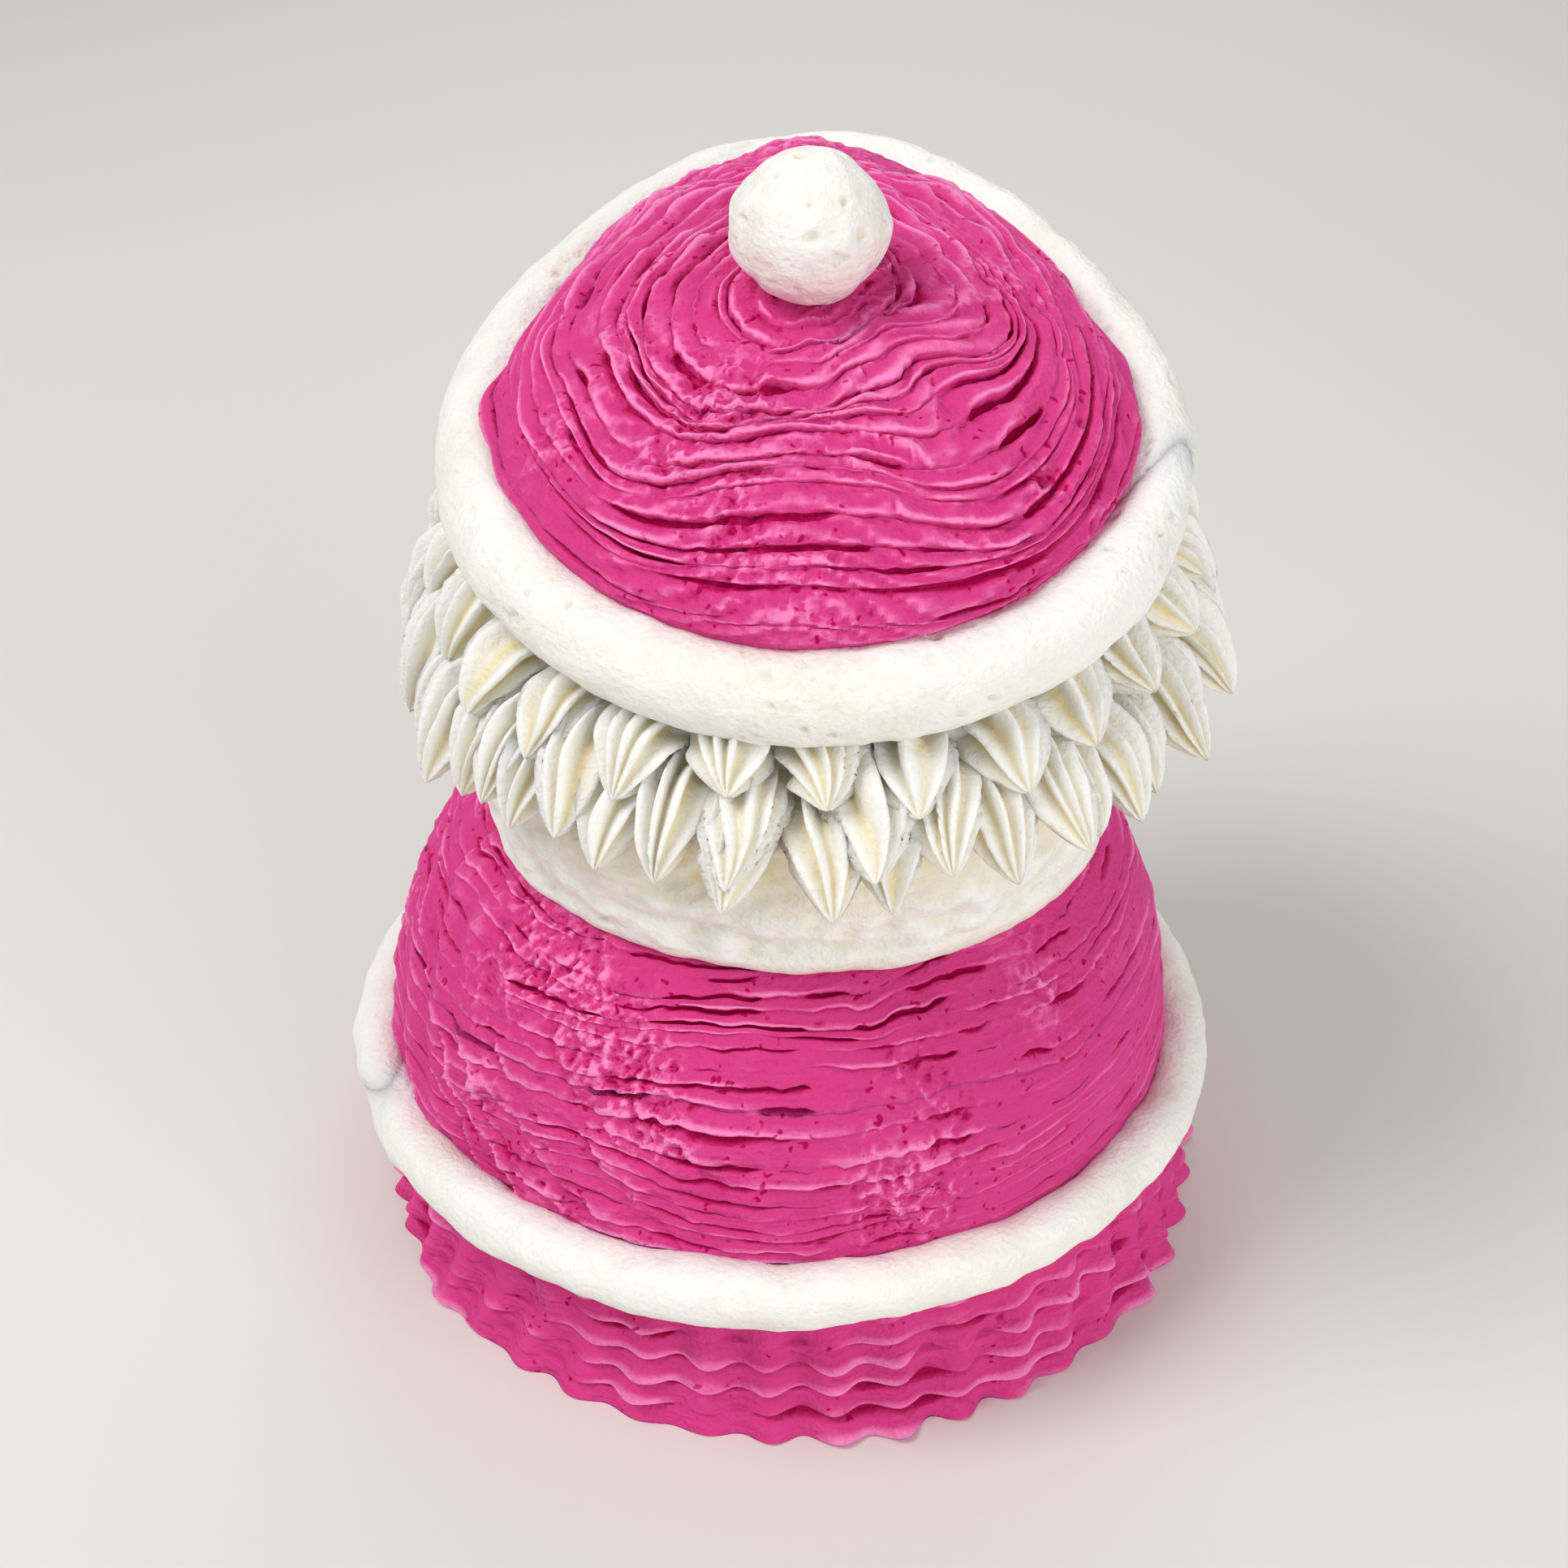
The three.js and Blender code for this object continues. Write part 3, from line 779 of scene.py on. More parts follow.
belt = {
    "middle": np.array([-0.1, 0, 26.3]),
    "ringRadius": 59.4,
    "tubeRadius": 4.2,
    "backLength": 0.0,
    "lapStart": 180,
    "lapEnd": 208,
    "tailOut": 0.4,
    "tailUp": 1.6,
    "startIn": 0.8,
    "wave": 0.6,
    "waveSize": 10,
    "pitSize": 3.6,
    "pitDepth": 0.8,
    "pitShare": 0.45,
    "along": 480,
    "round": 48,
    "seed": 300,
}

brim = {
    "ringRadius": 41.4,
    "tubeRadius": 6.05,
    "backLength": 0.3,
    "lapStart": 312,
    "lapEnd": 358,
    "tailOut": 1.9,
    "tailUp": 2.2,
    "startIn": 1.4,
    "wave": 0.5,
    "waveSize": 14,
    "pitSize": 3.4,
    "pitDepth": 0.8,
    "pitShare": 0.5,
    "along": 430,
    "round": 72,
    "seed": 320,
}

cap = {
    "middle": np.array([4.3, -8.0, 122.6]),
    "tilt": 18,
    "lean": -0.5,
    "summit": np.array([-0.8, 6.4]),
}


def capToCake(points):
    # turn about X by the tilt and before that about Y by the lean, then move to the cap's middle
    tilt, lean = np.radians(cap["tilt"]), np.radians(cap["lean"])
    aboutX = np.array([[1, 0, 0], [0, np.cos(tilt), -np.sin(tilt)], [0, np.sin(tilt), np.cos(tilt)]])
    aboutY = np.array([[np.cos(lean), 0, np.sin(lean)], [0, 1, 0], [-np.sin(lean), 0, np.cos(lean)]])
    return points @ (aboutX @ aboutY).T + cap["middle"]


def ropeLine(rope, angle, out):
    # the rope's ring, its back half stretched to an egg, moved outwards square to itself
    def ring(turned):
        stretch = 1 + rope["backLength"] * np.maximum(0, np.sin(turned)) ** 2
        return rope["ringRadius"] * np.stack([np.cos(turned), stretch * np.sin(turned)], -1)

    along = unit(ring(angle + 0.01) - ring(angle - 0.01))
    aside = np.stack([along[..., 1], -along[..., 0]], -1)
    return ring(angle) + aside * np.asarray(out)[..., None]


def capRing(angle, inset, height):
    # the brim's ring moved inwards, at one height of the cap
    flat = ropeLine(brim, angle, -inset)
    return capToCake(np.concatenate([flat, np.full((*angle.shape, 1), height)], -1))


ropeEnds = {
    "blunt": 2.2,  # length over which an end is rounded off
    "startWidth": 0.55,
    "startGrowth": 0.45,
    "startLength": 1.15,  # as a share of the lap
    "tailThin": 0.58,
    "tailPower": 1.6,
}

ropeSkin = {
    "fineWave": 0.45,  # share of the wave's height, and of its size
    "fineSize": 0.4,
    "rough": 0.34,
    "roughSize": 3.0,
    "crookSize": 1.5,
    "crook": 0.5,
    "clusterSize": 13,  # pits lie in clusters
    "pitWide": 1.3,
    "smallPit": 0.55,
    "smallShare": 0.3,
}


def makeRope(name, rope, toCake):
    # a round section carried once round the ring and on over its own start: the start is thin and lies
    # further in, the tail gets thinner, moves out and up, and both ends are rounded off
    start, end = np.radians(rope["lapStart"]), np.radians(rope["lapEnd"])
    lap = end - start
    angle = np.linspace(start, end + fullTurn, rope["along"])[:, None]
    spin = ringAngles(rope["round"])
    begun = np.clip((angle - start) / lap, 0, 1)
    ended = np.clip((angle - fullTurn - start) / lap, 0, 1)
    blunt = ropeEnds["blunt"] / rope["ringRadius"]
    toEnd = np.clip(np.minimum(angle - start, end + fullTurn - angle) / blunt, 0, 1)
    rounded = np.sqrt(1 - (1 - toEnd) ** 2)
    starting = ropeEnds["startWidth"] + ropeEnds["startGrowth"] * easeStep(begun, 0, ropeEnds["startLength"])
    ending = 1 - ropeEnds["tailThin"] * ended ** ropeEnds["tailPower"]
    width = starting * ending * (0.02 + 0.98 * rounded)
    tube = rope["tubeRadius"] * width
    out = rope["tailOut"] * ended - rope["startIn"] * (1 - begun)
    up = rope["tailUp"] * ended

    def section(grow):
        flat = ropeLine(rope, angle, out + (tube + grow) * np.cos(spin))
        return toCake(np.concatenate([flat, (up - (tube + grow) * np.sin(spin))[..., None]], -1))

    skin, seed = ropeSkin, rope["seed"]
    plain = section(0.0)
    wave = rope["wave"] * softNoise(plain, rope["waveSize"], seed)
    wave += skin["fineWave"] * rope["wave"] * softNoise(plain, skin["fineSize"] * rope["waveSize"], seed + 1)
    wave += skin["rough"] * roughNoise(plain, skin["roughSize"], seed + 2)
    crooked = crookedPoints(plain, skin["crookSize"], skin["crook"], seed + 30)
    cluster = easeStep(softNoise(plain, skin["clusterSize"], seed + 3), -0.25, 0.5)
    large = pits(crooked, rope["pitSize"], seed + 10, rope["pitShare"], skin["pitWide"])
    small = pits(crooked, skin["smallPit"] * rope["pitSize"], seed + 20, skin["smallShare"])
    holes = np.maximum(large * cluster, small * cluster)
    points = section((wave - rope["pitDepth"] * holes) * rounded)
    # painted light: paler on the swells, painted shade in the pits
    paintedLight = 0.82 + 0.1 * wave / rope["wave"] - 0.35 * holes
    pieceFromRows(name + "Rope", points, paintedLight, 0.1 + 0.35 * cluster, whiteCream, "white_cream", name)


makeRope("belt", belt, lambda points: points + belt["middle"])
makeRope("brim", brim, capToCake)
print("belt and brim piped")


# Hat

hat = {
    "edgeHeight": 6.4,
    "edgeInset": 2.1,
    "backInset": 3.6,
    "height": 20.8,
    "span": 39,  # level distance from the edge to the summit
    "crown": 1.2,
    "edgeFall": 45.0,  # how steeply the ribbons go down behind the brim
    "hems": ((3.6, 1.5), (2.5, 4.6)),  # inset and height of the rows behind the brim
}

hatLook = {
    "columns": 680,
    "layers": 20,
    "start": 0.0,
    "pitch": 1.0 / 20,
    "lip": 0.85,
    "face": 1.0,
    "hollow": 0.7,
    "crease": 0.35,
    "slotDepth": 1.5,
    "slotLength": 11,
    "spread": 0.55,
    "slant": 3.2,
    "meander": 0.5,
    "wiggle": 0.07,
    "ragged": 0.05,
    "calmFrom": 0.66,
    "waves": 20,
    "waveStep": 0.5,
    "waveDrift": 3.0,
    "waveDepth": 0.3,
    # painted highlight on wave crests and painted shade in troughs
    "paintedWaveLight": 0.05,
    "tuck": 0.6,
    "girth": 40,
    "seed": 400,
}


def hatRise(share):
    # angle up the mound for a share of the length along it
    rise = np.linspace(0, np.pi / 2, 500)
    level = hat["span"] * (1 - np.cos(rise))
    height = (hat["height"] - hat["edgeHeight"]) * np.sin(rise) ** hat["crown"]
    steps = np.hypot(np.diff(level), np.diff(height))
    length = np.concatenate([[0], np.cumsum(steps)])
    return np.interp(share, length / length[-1], rise)


def hatPoint(angle, share):
    # from the ring inside the brim to the summit: level part by the cosine of the rise, height by its sine;
    # where the share is below 0 it falls steeply
    angle, share = np.broadcast_arrays(angle, share)
    rise = hatRise(np.clip(share, 0, 0.999))
    inset = hat["edgeInset"] + hat["backInset"] * np.maximum(0, np.sin(angle))
    flat = ropeLine(brim, angle, -inset)
    flat = flat + (cap["summit"] - flat) * (1 - np.cos(rise))[..., None]
    height = hat["edgeHeight"] + (hat["height"] - hat["edgeHeight"]) * np.sin(rise) ** hat["crown"]
    height = height + hat["edgeFall"] * np.minimum(share, 0)
    return capToCake(np.concatenate([flat, height[..., None]], -1))


def hatSpot(degrees, rise, reach, rough, sink):
    # a torn spot on the mound by angle and share of a quarter turn of rise
    table = np.linspace(0, 1, 400)
    share = np.interp(rise * np.pi / 2, hatRise(table), table)
    at = hatPoint(np.radians(np.array([degrees])), np.array([share]))[0]
    return {"at": at, "reach": reach, "rough": rough, "sink": sink}


hatSpots = [hatSpot(*spot) for spot in (  # degrees, share of the rise, reach, roughness, sink
    (232, 0.68, 6.5, 1.0, 0.2),
    (249, 0.72, 2.5, 0.7, 1.2),
    (234, 0.50, 6.5, 1.0, 0.0),
    (252, 0.47, 3.0, 0.6, 0.8),
    (252, 0.38, 5.5, 1.0, 0.0),
    (268, 0.25, 6.5, 0.8, 0.0),
    (205, 0.36, 6.0, 0.6, 0.0),
    (322, 0.33, 3.0, 0.9, 0.9),
    (300, 0.33, 3.0, 0.8, 0.7),
    (241, 0.89, 3.5, 0.2, 0.9),
    (194, 0.59, 7.0, 0.8, -0.3),
    (285, 0.62, 6.5, 0.65, 0.0),
    (131, 0.37, 5.0, 0.5, -1.3),
    (49, 0.37, 5.0, 0.5, -1.3),
    (90, 0.5, 8.0, 0.9, 0.0),
    (110, 0.2, 7.0, 0.9, 0.0),
    (20, 0.5, 7.0, 0.8, 0.0),
)]


def lowInFront(angle, level, limits):
    # 1 at the foot in front, less upwards by the limits and to the sides by a cosine
    return (1 - easeStep(level, *limits)) * np.clip(-np.sin(angle), 0, 1)


def hatLips(angle, level):
    # calm low down in front, thinner on the right
    low = lowInFront(angle, level, (0.1, 0.26))
    return 1.05 + 0.4 * bell(angle, 200, 40) - 0.5 * low - 0.45 * bell(angle, 340, 40)


def hatSlots(angle, level):
    # long ones low in front and on the right
    low = lowInFront(angle, level, (0.12, 0.3))
    return 0.02 + 0.2 * low + 0.18 * bell(angle, 345, 40)


hatSkin = {
    "strands": 34,  # fine strands from the edge to the summit
    "strandTilt": 2.2,
    "strandDrift": 2.6,
    "strandDepth": 0.75,
    "strandPlace": (330, 60, 0.5),  # where they show most: degrees, width and strength
    "flakePlace": (205, 45, 0.4),
    "flakeLaps": (14, 20),
    "flakeSlant": 3,
    "flakeRise": 11,
    "flakeDepth": 0.8,
    "drawnRound": 15,  # makes grain and slits longer along the ribbons
    "drawnUp": 45,
    "grain": 0.25,
    "slitDepth": 0.6,
    "lumps": 0.9,
    "reach": ((0.0, 0.04), (0.86, 0.98)),  # shares of the height where all this begins and ends
    # painted highlight on raised edges, painted shade in hollows
    "paintedRidgeLight": 0.85,
}


def hatRuffle(angle, level):
    # the same all over
    return 0.6


def makeHat():
    # ribbons in rings up the mound, finer strands that cross them at a low angle, then flakes, grain,
    # slits and torn spots; two hems run down behind the brim
    skin = hatSkin
    edges = ribbonEdges(hatLook, hatRuffle, hatLips, hatSlots)
    points, outward, paintedLight = piledRibbons(hatPoint, hatLook, edges)
    rows, columns = paintedLight.shape
    around = (np.arange(columns) / columns)[None, :]
    angle = around * fullTurn
    level = np.linspace(0, 1, rows)[:, None]
    drift = skin["strandTilt"] * np.sin(angle - 0.9)
    fine = skin["strands"] * level + drift + skin["strandDrift"] * softNoise(points, 20, 431)
    saw = fine - np.floor(fine)
    strand = easeStep(saw, 0, 0.25) - saw
    middle, width, strength = skin["strandPlace"]
    crossing = easeStep(softNoise(points, 15, 433) + strength * bell(angle, middle, width), -0.3, 0.3)
    middle, width, strength = skin["flakePlace"]
    flaky = easeStep(softNoise(points, 12, 434) + strength * bell(angle, middle, width), 0.1, 0.55)
    leaf = flakes(points, around, level, skin, (439, 441, 436))
    ring = skin["drawnRound"]
    drawn = pointsFrom(ring * np.cos(angle), ring * np.sin(angle), skin["drawnUp"] * level)
    slits = pits(drawn, 2.1, 450, 0.25)
    change = skin["strandDepth"] * crossing * strand + skin["flakeDepth"] * flaky * leaf
    change = change + skin["grain"] * roughNoise(drawn, 1.8, 437)
    crumbled, torn = tornCream(points, hatSpots, 440)
    change += crumbled - skin["slitDepth"] * slits + skin["lumps"] * roughNoise(points, 10, 438)
    change *= between(level, *skin["reach"])
    points = points + outward * change[..., None]
    # painted light from the change in height: painted highlight on raised edges, painted shade in hollows and
    # slits
    paintedLight = paintedLight + 0.1 * change + skin["paintedRidgeLight"] * standing(change)
    inset = hat["backInset"] * np.maximum(0, np.sin(angle[0]))
    hems = [capRing(angle[0], hem + inset, height) for hem, height in hat["hems"]]
    points = np.concatenate([np.stack(hems), points])
    paintedLight = np.concatenate([paintedLight[:2], paintedLight])
    torn = np.concatenate([torn[:2], torn])
    pieceFromRows("hatRibbons", points, paintedLight, torn, berryCream, "berry_cream", "hat")


makeHat()
print("hat piped")


# Pompom

pompom = {
    "radius": 9.2,
    "squash": 0.95,
    "height": 28.3,
    "wave": 0.45,
    "waveSize": 5,
    "fineWave": 0.7,  # share of the wave
    "fineSize": 2.4,
    "pitDepth": 0.8,
    "pitSize": 4.4,
    "smallPit": 2.4,
    "round": 132,
    "rows": 90,
}


def makePompom():
    # a flattened ball with shallow lumps and a few round dimples
    angle = ringAngles(pompom["round"])
    rise = np.linspace(-0.495, 0.495, pompom["rows"])[:, None] * np.pi
    ball = pointsFrom(np.cos(rise) * np.cos(angle), np.cos(rise) * np.sin(angle), np.sin(rise))
    place = ball * pompom["radius"]
    wave = softNoise(place, pompom["waveSize"], 501)
    wave = pompom["wave"] * (wave + pompom["fineWave"] * softNoise(place, pompom["fineSize"], 502))
    holes = pits(place, pompom["pitSize"], 510, 0.6, 1.1)
    holes = np.maximum(holes, pits(place, pompom["smallPit"], 520, 0.35, 1.2))
    radius = pompom["radius"] + wave - pompom["pitDepth"] * holes
    local = ball * radius[..., None] * np.array([1, 1, pompom["squash"]])
    local = local + np.array([*cap["summit"], pompom["height"]])
    # painted light: paler on the lumps, painted shade in the dimples
    paintedLight = 0.82 + 0.3 * wave - 0.35 * holes
    pieceFromRows("pompomBall", capToCake(local), paintedLight, 0.2, whiteCream, "white_cream", "pompom")


makePompom()


# Head

head = {
    "neckMiddle": np.array([2.3, 0, 66.45]),
    "baseRadius": 41.6,
    "neckRadius": 43.4,
    "neckHeight": 2.4,
    "bulge": 1.6,
    "rimInset": 1.4,
    "rimDrop": 7.3,
    "dents": 2.0,
    "bumps": 1.1,
    "pitDepth": 0.6,
    "edge": 1.2,  # how far the lower edge goes in and out
    "lumps": 2.2,  # cream heaped behind the fringe
    "lumpReach": ((0.48, 0.66), (0.9, 1.0)),  # shares of the height where it begins and ends
    "footIn": 4,
    "footRows": 8,
    "rims": ((6.0, -5.0), (12.0, -4.0)),  # inset and height of the rows under the brim
    "pale": 0.8,  # painted light on the side, and how much painted shade lowers it behind the fringe
    "shaded": 0.6,
    "shadeReach": ((0.1, 0.45), (0.7, 0.85)),
    "round": 320,
    "rows": 66,
}


def headSide(angle, up):
    # straight from a level ring at the neck to a ring under the brim, swelling by a sine between them
    angle, up = np.broadcast_arrays(angle, up)
    level = pointsFrom(np.cos(angle), np.sin(angle), 0)
    neck = head["neckMiddle"] + head["neckRadius"] * level + np.array([0, 0, head["neckHeight"]])
    rim = capRing(angle, head["rimInset"], -head["rimDrop"])
    swell = head["bulge"] * np.sin(np.pi * np.clip(up, 0, 1))
    return neck + (rim - neck) * up[..., None] + swell[..., None] * level


def drumTop(x, y):
    # height of the drum's shoulder under a point
    share = np.clip(np.hypot(x, y) / drum["radius"], 0, 0.99)
    dome = drum["domeHeight"] * (1 - share ** drum["shoulderPower"]) ** (1 / drum["shoulderPower"])
    return np.minimum(dome, drum["height"])


def makeHead():
    # a rounded foot that follows the drum's shoulder, sides with dents, heaped cream and a few pits, and
    # an inner edge hidden by the brim
    angle = ringAngles(head["round"])
    level = pointsFrom(np.cos(angle), np.sin(angle), 0)
    base = head["neckMiddle"] + head["baseRadius"] * level
    base[..., 2] = np.minimum(base[..., 2], drumTop(base[..., 0], base[..., 1]) + 0.2)
    side = headSide(angle, np.zeros((1, 1)))
    footRows = head["footRows"]
    bend = (np.arange(footRows) / footRows * np.pi / 2)[:, None, None]
    foot = np.concatenate([(base + (side - base) * np.sin(bend))[..., :2],
                           (base + (side - base) * (1 - np.cos(bend)))[..., 2:]], -1)
    foot = foot + level * head["edge"] * roughNoise(foot, 7, 607)[..., None]
    inner = base - head["footIn"] * level
    up = np.linspace(0.001, 1, head["rows"])[:, None]
    sides, outward = surfaceFrame(headSide, angle, up)
    drawn = sides * np.array([0.45, 0.45, 1.0])
    dents = head["dents"] * roughNoise(drawn, 5, 601) + head["edge"] * roughNoise(sides, 7, 607)
    dents += head["bumps"] * roughNoise(sides, 3.6, 605)
    heap = between(up, *head["lumpReach"])
    dents += head["lumps"] * heap * (0.5 + roughNoise(sides, 6, 620))
    holes = pits(sides, 4.0, 610, 0.25, 1.3)
    sides = sides + outward * (dents - head["pitDepth"] * holes)[..., None]
    tops = [capRing(angle[0], inset, height) for inset, height in head["rims"]]
    points = np.concatenate([inner, foot, sides, np.stack(tops)])
    paintedLight = np.full(points.shape[:2], 0.6)
    # painted shade under and behind the fringe; painted light on the dents and painted shade in the pits
    shade = head["pale"] - head["shaded"] * between(up, *head["shadeReach"])
    below = footRows + 1
    paintedLight[below:below + head["rows"]] = shade + 0.06 * dents + 0.5 * standing(dents) - 0.25 * holes
    # painted shade on the inner edge and the foot, darkest at the inner edge
    paintedLight[:below] = np.linspace(0.3, head["pale"], below)[:, None]
    pieceFromRows("headCream", points, paintedLight, 0.25, whiteCream, "white_cream", "head")


makeHead()
print("pompom and head made")


# Fringe of piped shells

shell = {
    "radius": 5.2,
    "footWidth": 0.9,
    "fullest": 0.36,
    "bendShare": 0.38,
    "gap": 0.35,
    "lobes": (10, 9),  # ridges, by turns
    "groove": 0.52,  # depth of the grooves as a share of the width
    "sharp": 1.8,  # higher makes the ridges thinner
    "crowd": 0.45,  # how much closer the points lie on the outer side
    "twist": 0.7,
    "nib": 0.8,
    "blunt": 0.72,
    "sunk": 0.14,
    "curl": 1.6,
    "looseAngle": 2.2,  # how far one shell may differ from the next
    "looseUp": 0.035,
    "looseDroop": 5,
    "looseLength": 0.09,
    "looseWidth": 0.06,
    "bumps": 0.45,
    "fineBumps": 0.2,
    "round": 66,
    "rows": 22,
}

plainRow = {"arc": 360, "upBack": 0, "frontShort": 0, "frontLift": 0, "rightLift": 0}

shellRows = [
    {**plainRow, "name": "upper", "count": 26, "phase": 269.7, "salt": 10, "up": 0.88, "upBack": -0.045,
     "length": 10.6, "droop": 34, "frontLift": 17, "rightLift": 6},
    {**plainRow, "name": "lower", "count": 26, "phase": 262.8, "salt": 0, "up": 0.69, "upBack": -0.1,
     "length": 16.2, "frontShort": 0.09, "droop": 42, "frontLift": 13, "rightLift": 6},
    {**plainRow, "name": "low", "count": 2, "arc": 42, "phase": 260.5, "salt": 20, "up": 0.7,
     "length": 14.6, "droop": 36},
    {**plainRow, "name": "fill", "count": 23, "arc": 318.5, "phase": 297.4, "salt": 30, "up": 0.63,
     "upBack": -0.1, "length": 14.0, "droop": 44, "frontLift": 10, "rightLift": 6, "node": "head"},
    {**plainRow, "name": "between", "count": 14, "arc": 194, "phase": 359.7, "salt": 40, "up": 0.79,
     "upBack": -0.075, "length": 13.0, "droop": 40, "rightLift": 6, "node": "head"},
    {**plainRow, "name": "front", "count": 1, "phase": 270.5, "salt": 50, "up": 0.71,
     "length": 13.6, "droop": 38, "node": "head"},
]


def shellWidth(share):
    # swells from the foot by a sine, then rounds off to the tip by a cosine raised to a power
    foot, fullest = shell["footWidth"], shell["fullest"]
    swell = foot + (1 - foot) * np.sin(0.5 * np.pi * np.clip(share, 0, 1) / fullest)
    past = np.clip((share - fullest) / (1 - fullest), 0, 1)
    return np.where(share < fullest, swell, np.cos(0.5 * np.pi * past) ** shell["blunt"])


def shellPath(row, index, chance):
    # from the head out and down on a curve with one bend, moved aside by the square of the share along it;
    # gives that share, the path, and the directions to its side and over it
    turn = row["phase"] + row["arc"] / row["count"] * index
    angle = np.radians(turn + shell["looseAngle"] * chance[0])
    up = row["up"] + row["upBack"] * np.sin(angle) + shell["looseUp"] * chance[1]
    front = max(0, -np.sin(angle)) ** 2
    lift = row["frontLift"] * front + row["rightLift"] * np.cos(angle)
    droop = np.radians(row["droop"] - lift + shell["looseDroop"] * chance[2])
    length = row["length"] * (1 - row["frontShort"] * front) * (1 + shell["looseLength"] * chance[3])
    root, out = (found[0] for found in surfaceFrame(headSide, np.array([angle]), np.array([up]), 0.01))
    level = unit(out * np.array([1, 1, 0]))
    side = np.array([-level[1], level[0], 0])
    start = root + out * shell["gap"]
    bend = start + out * shell["bendShare"] * length
    tip = start + level * length * np.cos(droop) - np.array([0, 0, length * np.sin(droop)])
    share = np.linspace(-shell["sunk"], 1, shell["rows"])[:, None]
    path = (1 - share) ** 2 * start + 2 * share * (1 - share) * bend + share ** 2 * tip
    forward = unit(2 * (1 - share) * (bend - start) + 2 * share * (tip - bend))
    path = path + side * shell["curl"] * chance[5] * np.clip(share, 0, 1) ** 2
    return share, path, side, unit(np.cross(forward, side))


def makeShell(row, index):
    # a star-shaped section carried along the path; the star's ridges twist, stand unevenly and run together
    # in a small nib at the tip
    chance = [scatter(index, row["salt"] + k) for k in range(13)]
    share, path, side, over = shellPath(row, index, chance)
    radius = shell["radius"] * (1 + shell["looseWidth"] * chance[4])
    spin = ringAngles(shell["round"])
    spin = spin + shell["crowd"] * np.cos(spin)
    turned = spin + shell["twist"] * chance[6] * share + 0.07 * np.sin(7 * share + 6 * chance[7])
    turned = turned + 0.2 * np.sin(2 * spin + 6 * chance[8]) + 0.1 * np.sin(3 * spin + 6 * chance[9])
    lobes = shell["lobes"][index % 2]
    ridge = (0.5 + 0.5 * np.cos(lobes * turned + 3 * chance[10])) ** shell["sharp"]
    uneven = 1 + 0.2 * np.sin(spin + 6 * chance[11]) + 0.15 * np.cos(3 * spin + 6 * chance[12])
    groove = shell["groove"] * uneven * easeStep(share, -0.25, 0.2)
    nib = shell["nib"] * np.clip((1 - share) / 0.08, 0, 1) ** 0.5
    width = np.maximum(radius * shellWidth(share), nib)
    tube = width * (1.1 - groove * (1 - ridge))
    star = side * np.cos(spin)[..., None] + over[:, None] * np.sin(spin)[..., None]
    plain = path[:, None] + star * tube[..., None]
    bumps = shell["bumps"] * softNoise(plain, 4.2, 700 + index)
    bumps += shell["fineBumps"] * softNoise(plain, 1.8, 730 + index)
    points = plain + star * (bumps * np.clip(width / radius, 0, 1))[..., None]
    # painted highlight on the ridges and bumps, painted shade in the grooves and on the flanks and underside
    # of each shell
    paintedLight = 0.2 + 0.88 * ridge ** 0.45 + 0.25 * bumps - 0.25 * (1 - np.sin(spin))
    # painted shade near the foot, under the brim
    paintedLight = paintedLight - 0.2 * (1 - easeStep(share, -0.1, 0.25))
    name = f"{row['name']}_{index + 1:02d}"
    node = row.get("node", "shell_" + name)
    pieceFromRows("pipedShell_" + name, points, paintedLight, 0.0, whiteCream, "white_cream", node)


for row in shellRows:
    for index in range(row["count"]):
        makeShell(row, index)
print("fringe piped")


# Floor, light and camera

ground = {"reach": 4.0, "color": (225, 222, 217), "roughness": 0.7}


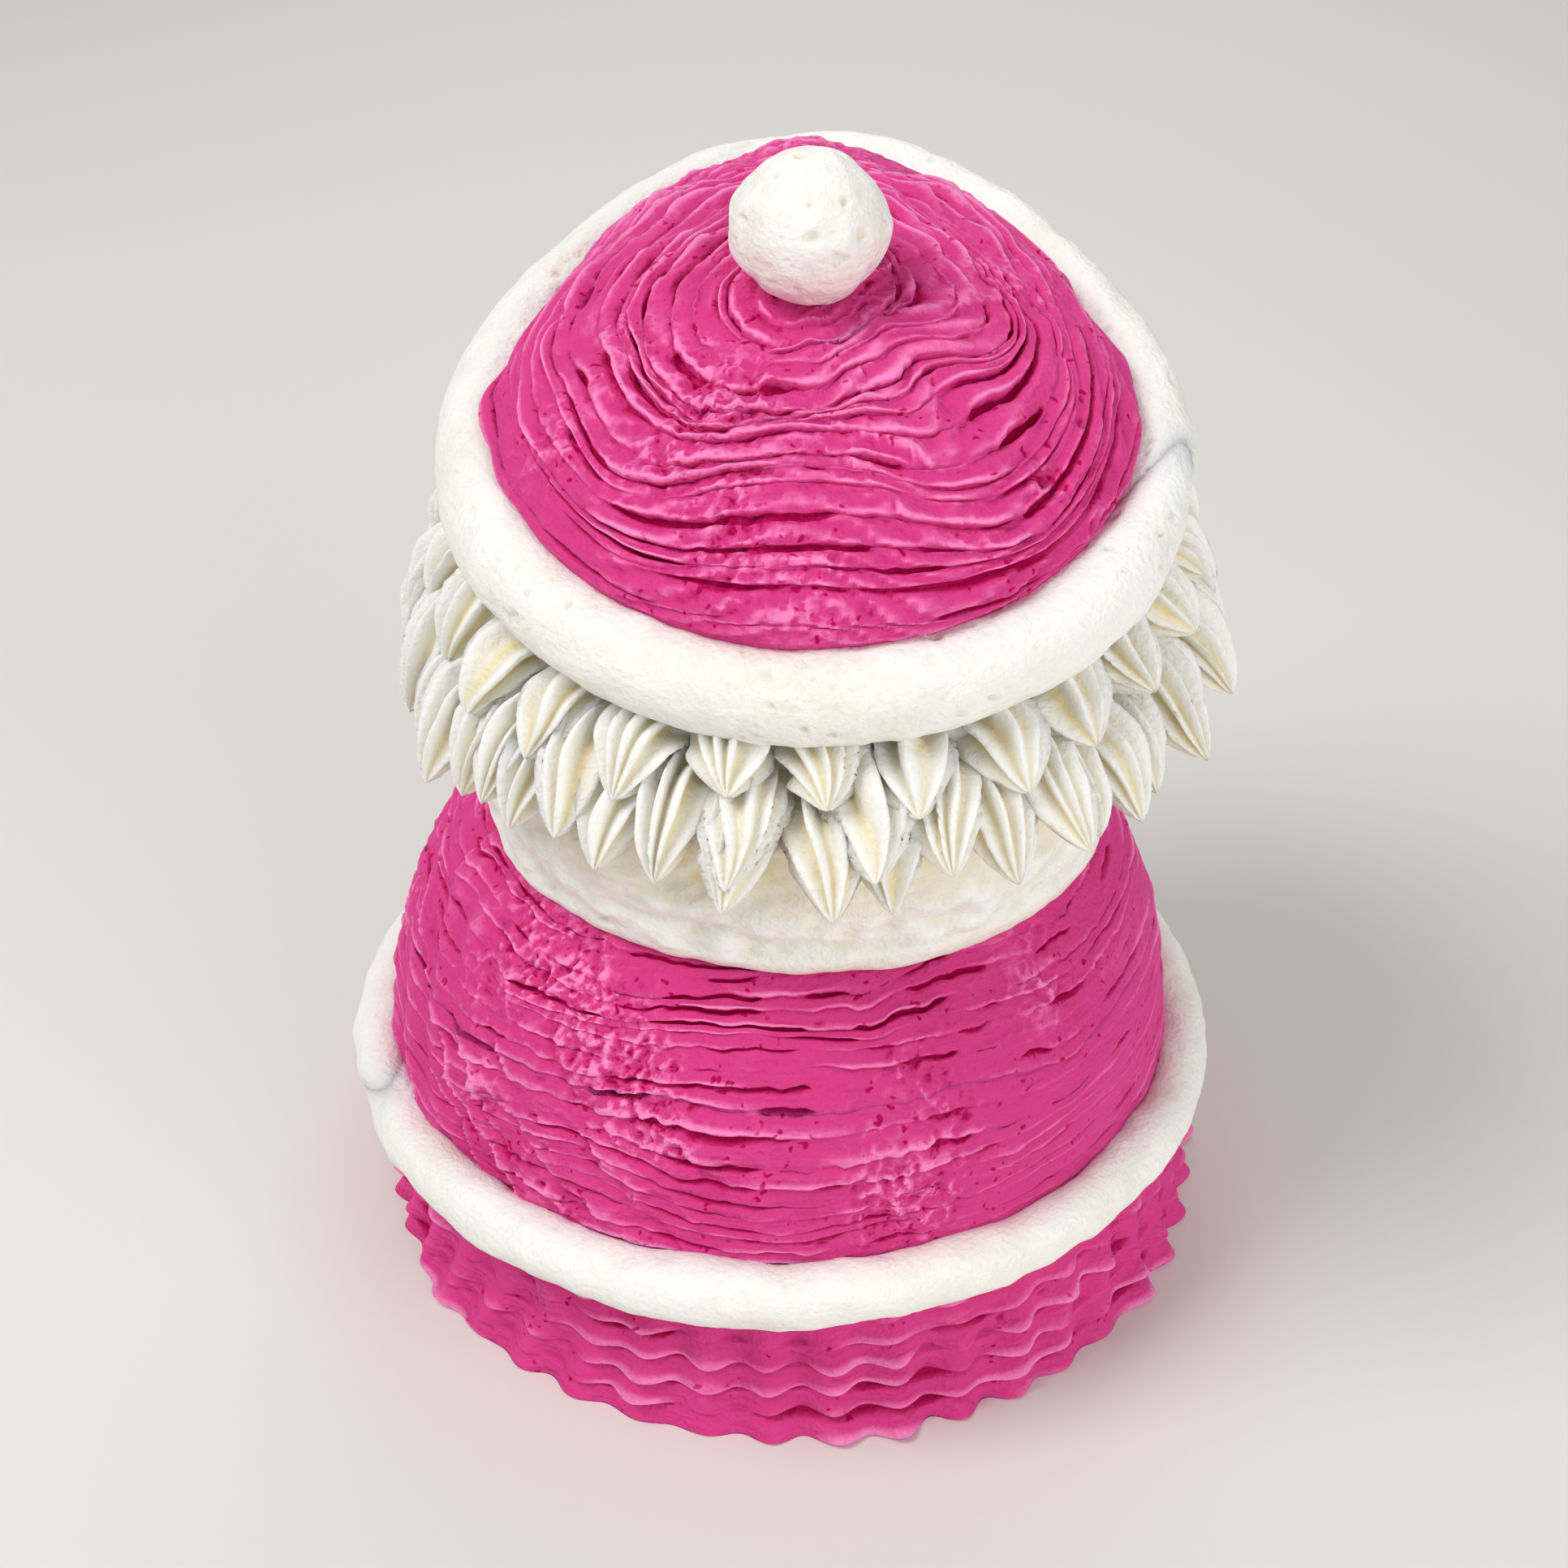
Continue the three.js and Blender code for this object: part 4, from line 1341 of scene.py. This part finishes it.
def makeFloor():
    # one flat square, wide enough to fill every view
    reach = ground["reach"]
    mesh = bpy.data.meshes.new("floor")
    corners = [(-reach, -reach, 0), (reach, -reach, 0), (reach, reach, 0), (-reach, reach, 0)]
    mesh.from_pydata(corners, [], [(0, 1, 2, 3)])
    finish = Finish("paleFloor")
    finish.paint(Base_Color=srgb(*ground["color"]), Roughness=ground["roughness"])
    mesh.materials.append(finish.material)
    floor = bpy.data.objects.new("floor", mesh)
    bpy.context.scene.collection.objects.link(floor)


studio = {
    "key": {"at": (-0.58, -0.24, 0.92), "size": 0.5, "power": 7.05, "color": (1.0, 0.995, 0.985)},
    "fill": {"at": (0.62, -0.74, 0.36), "size": 0.8, "power": 5.3, "color": (1.0, 1.0, 0.99)},
    "back": {"at": (0.1, 0.8, 0.7), "size": 0.7, "power": 2.4, "color": (1.0, 1.0, 1.0)},
}
lampAim = np.array([0, 0, 0.08])  # the middle of the cake
sky = {"Color": (1.0, 0.995, 0.985, 1.0), "Strength": 0.335}


def makeLight(name, look):
    # a square lamp that faces the middle of the cake
    lamp = bpy.data.lights.new(name, "AREA")
    lamp.size = look["size"]
    lamp.energy = look["power"]
    lamp.color = look["color"]
    light = bpy.data.objects.new(name, lamp)
    aim = lampAim - np.array(look["at"])
    level = np.hypot(aim[0], aim[1])
    light.rotation_euler = (np.arctan2(level, -aim[2]), 0, np.arctan2(-aim[0], aim[1]))
    light.location = look["at"]
    bpy.context.scene.collection.objects.link(light)


makeFloor()
for name, look in studio.items():
    makeLight(name, look)

world = bpy.data.worlds.new("studio")
world.use_nodes = True
for socket, value in sky.items():
    world.node_tree.nodes["Background"].inputs[socket].default_value = value
bpy.context.scene.world = world
bpy.context.scene.view_settings.view_transform = "Standard"

view = {"lens": 52.17, "sensor": 36, "at": (0.0004, -0.26705, 0.2443), "above": 33.7}

lens = bpy.data.cameras.new("camera")
lens.lens = view["lens"]
lens.sensor_width = view["sensor"]
lens.clip_start = 0.01
camera = bpy.data.objects.new("camera", lens)
camera.location = view["at"]
camera.rotation_euler = (np.radians(90 - view["above"]), 0, 0)
bpy.context.scene.collection.objects.link(camera)
bpy.context.scene.camera = camera
print("floor, light and camera set")
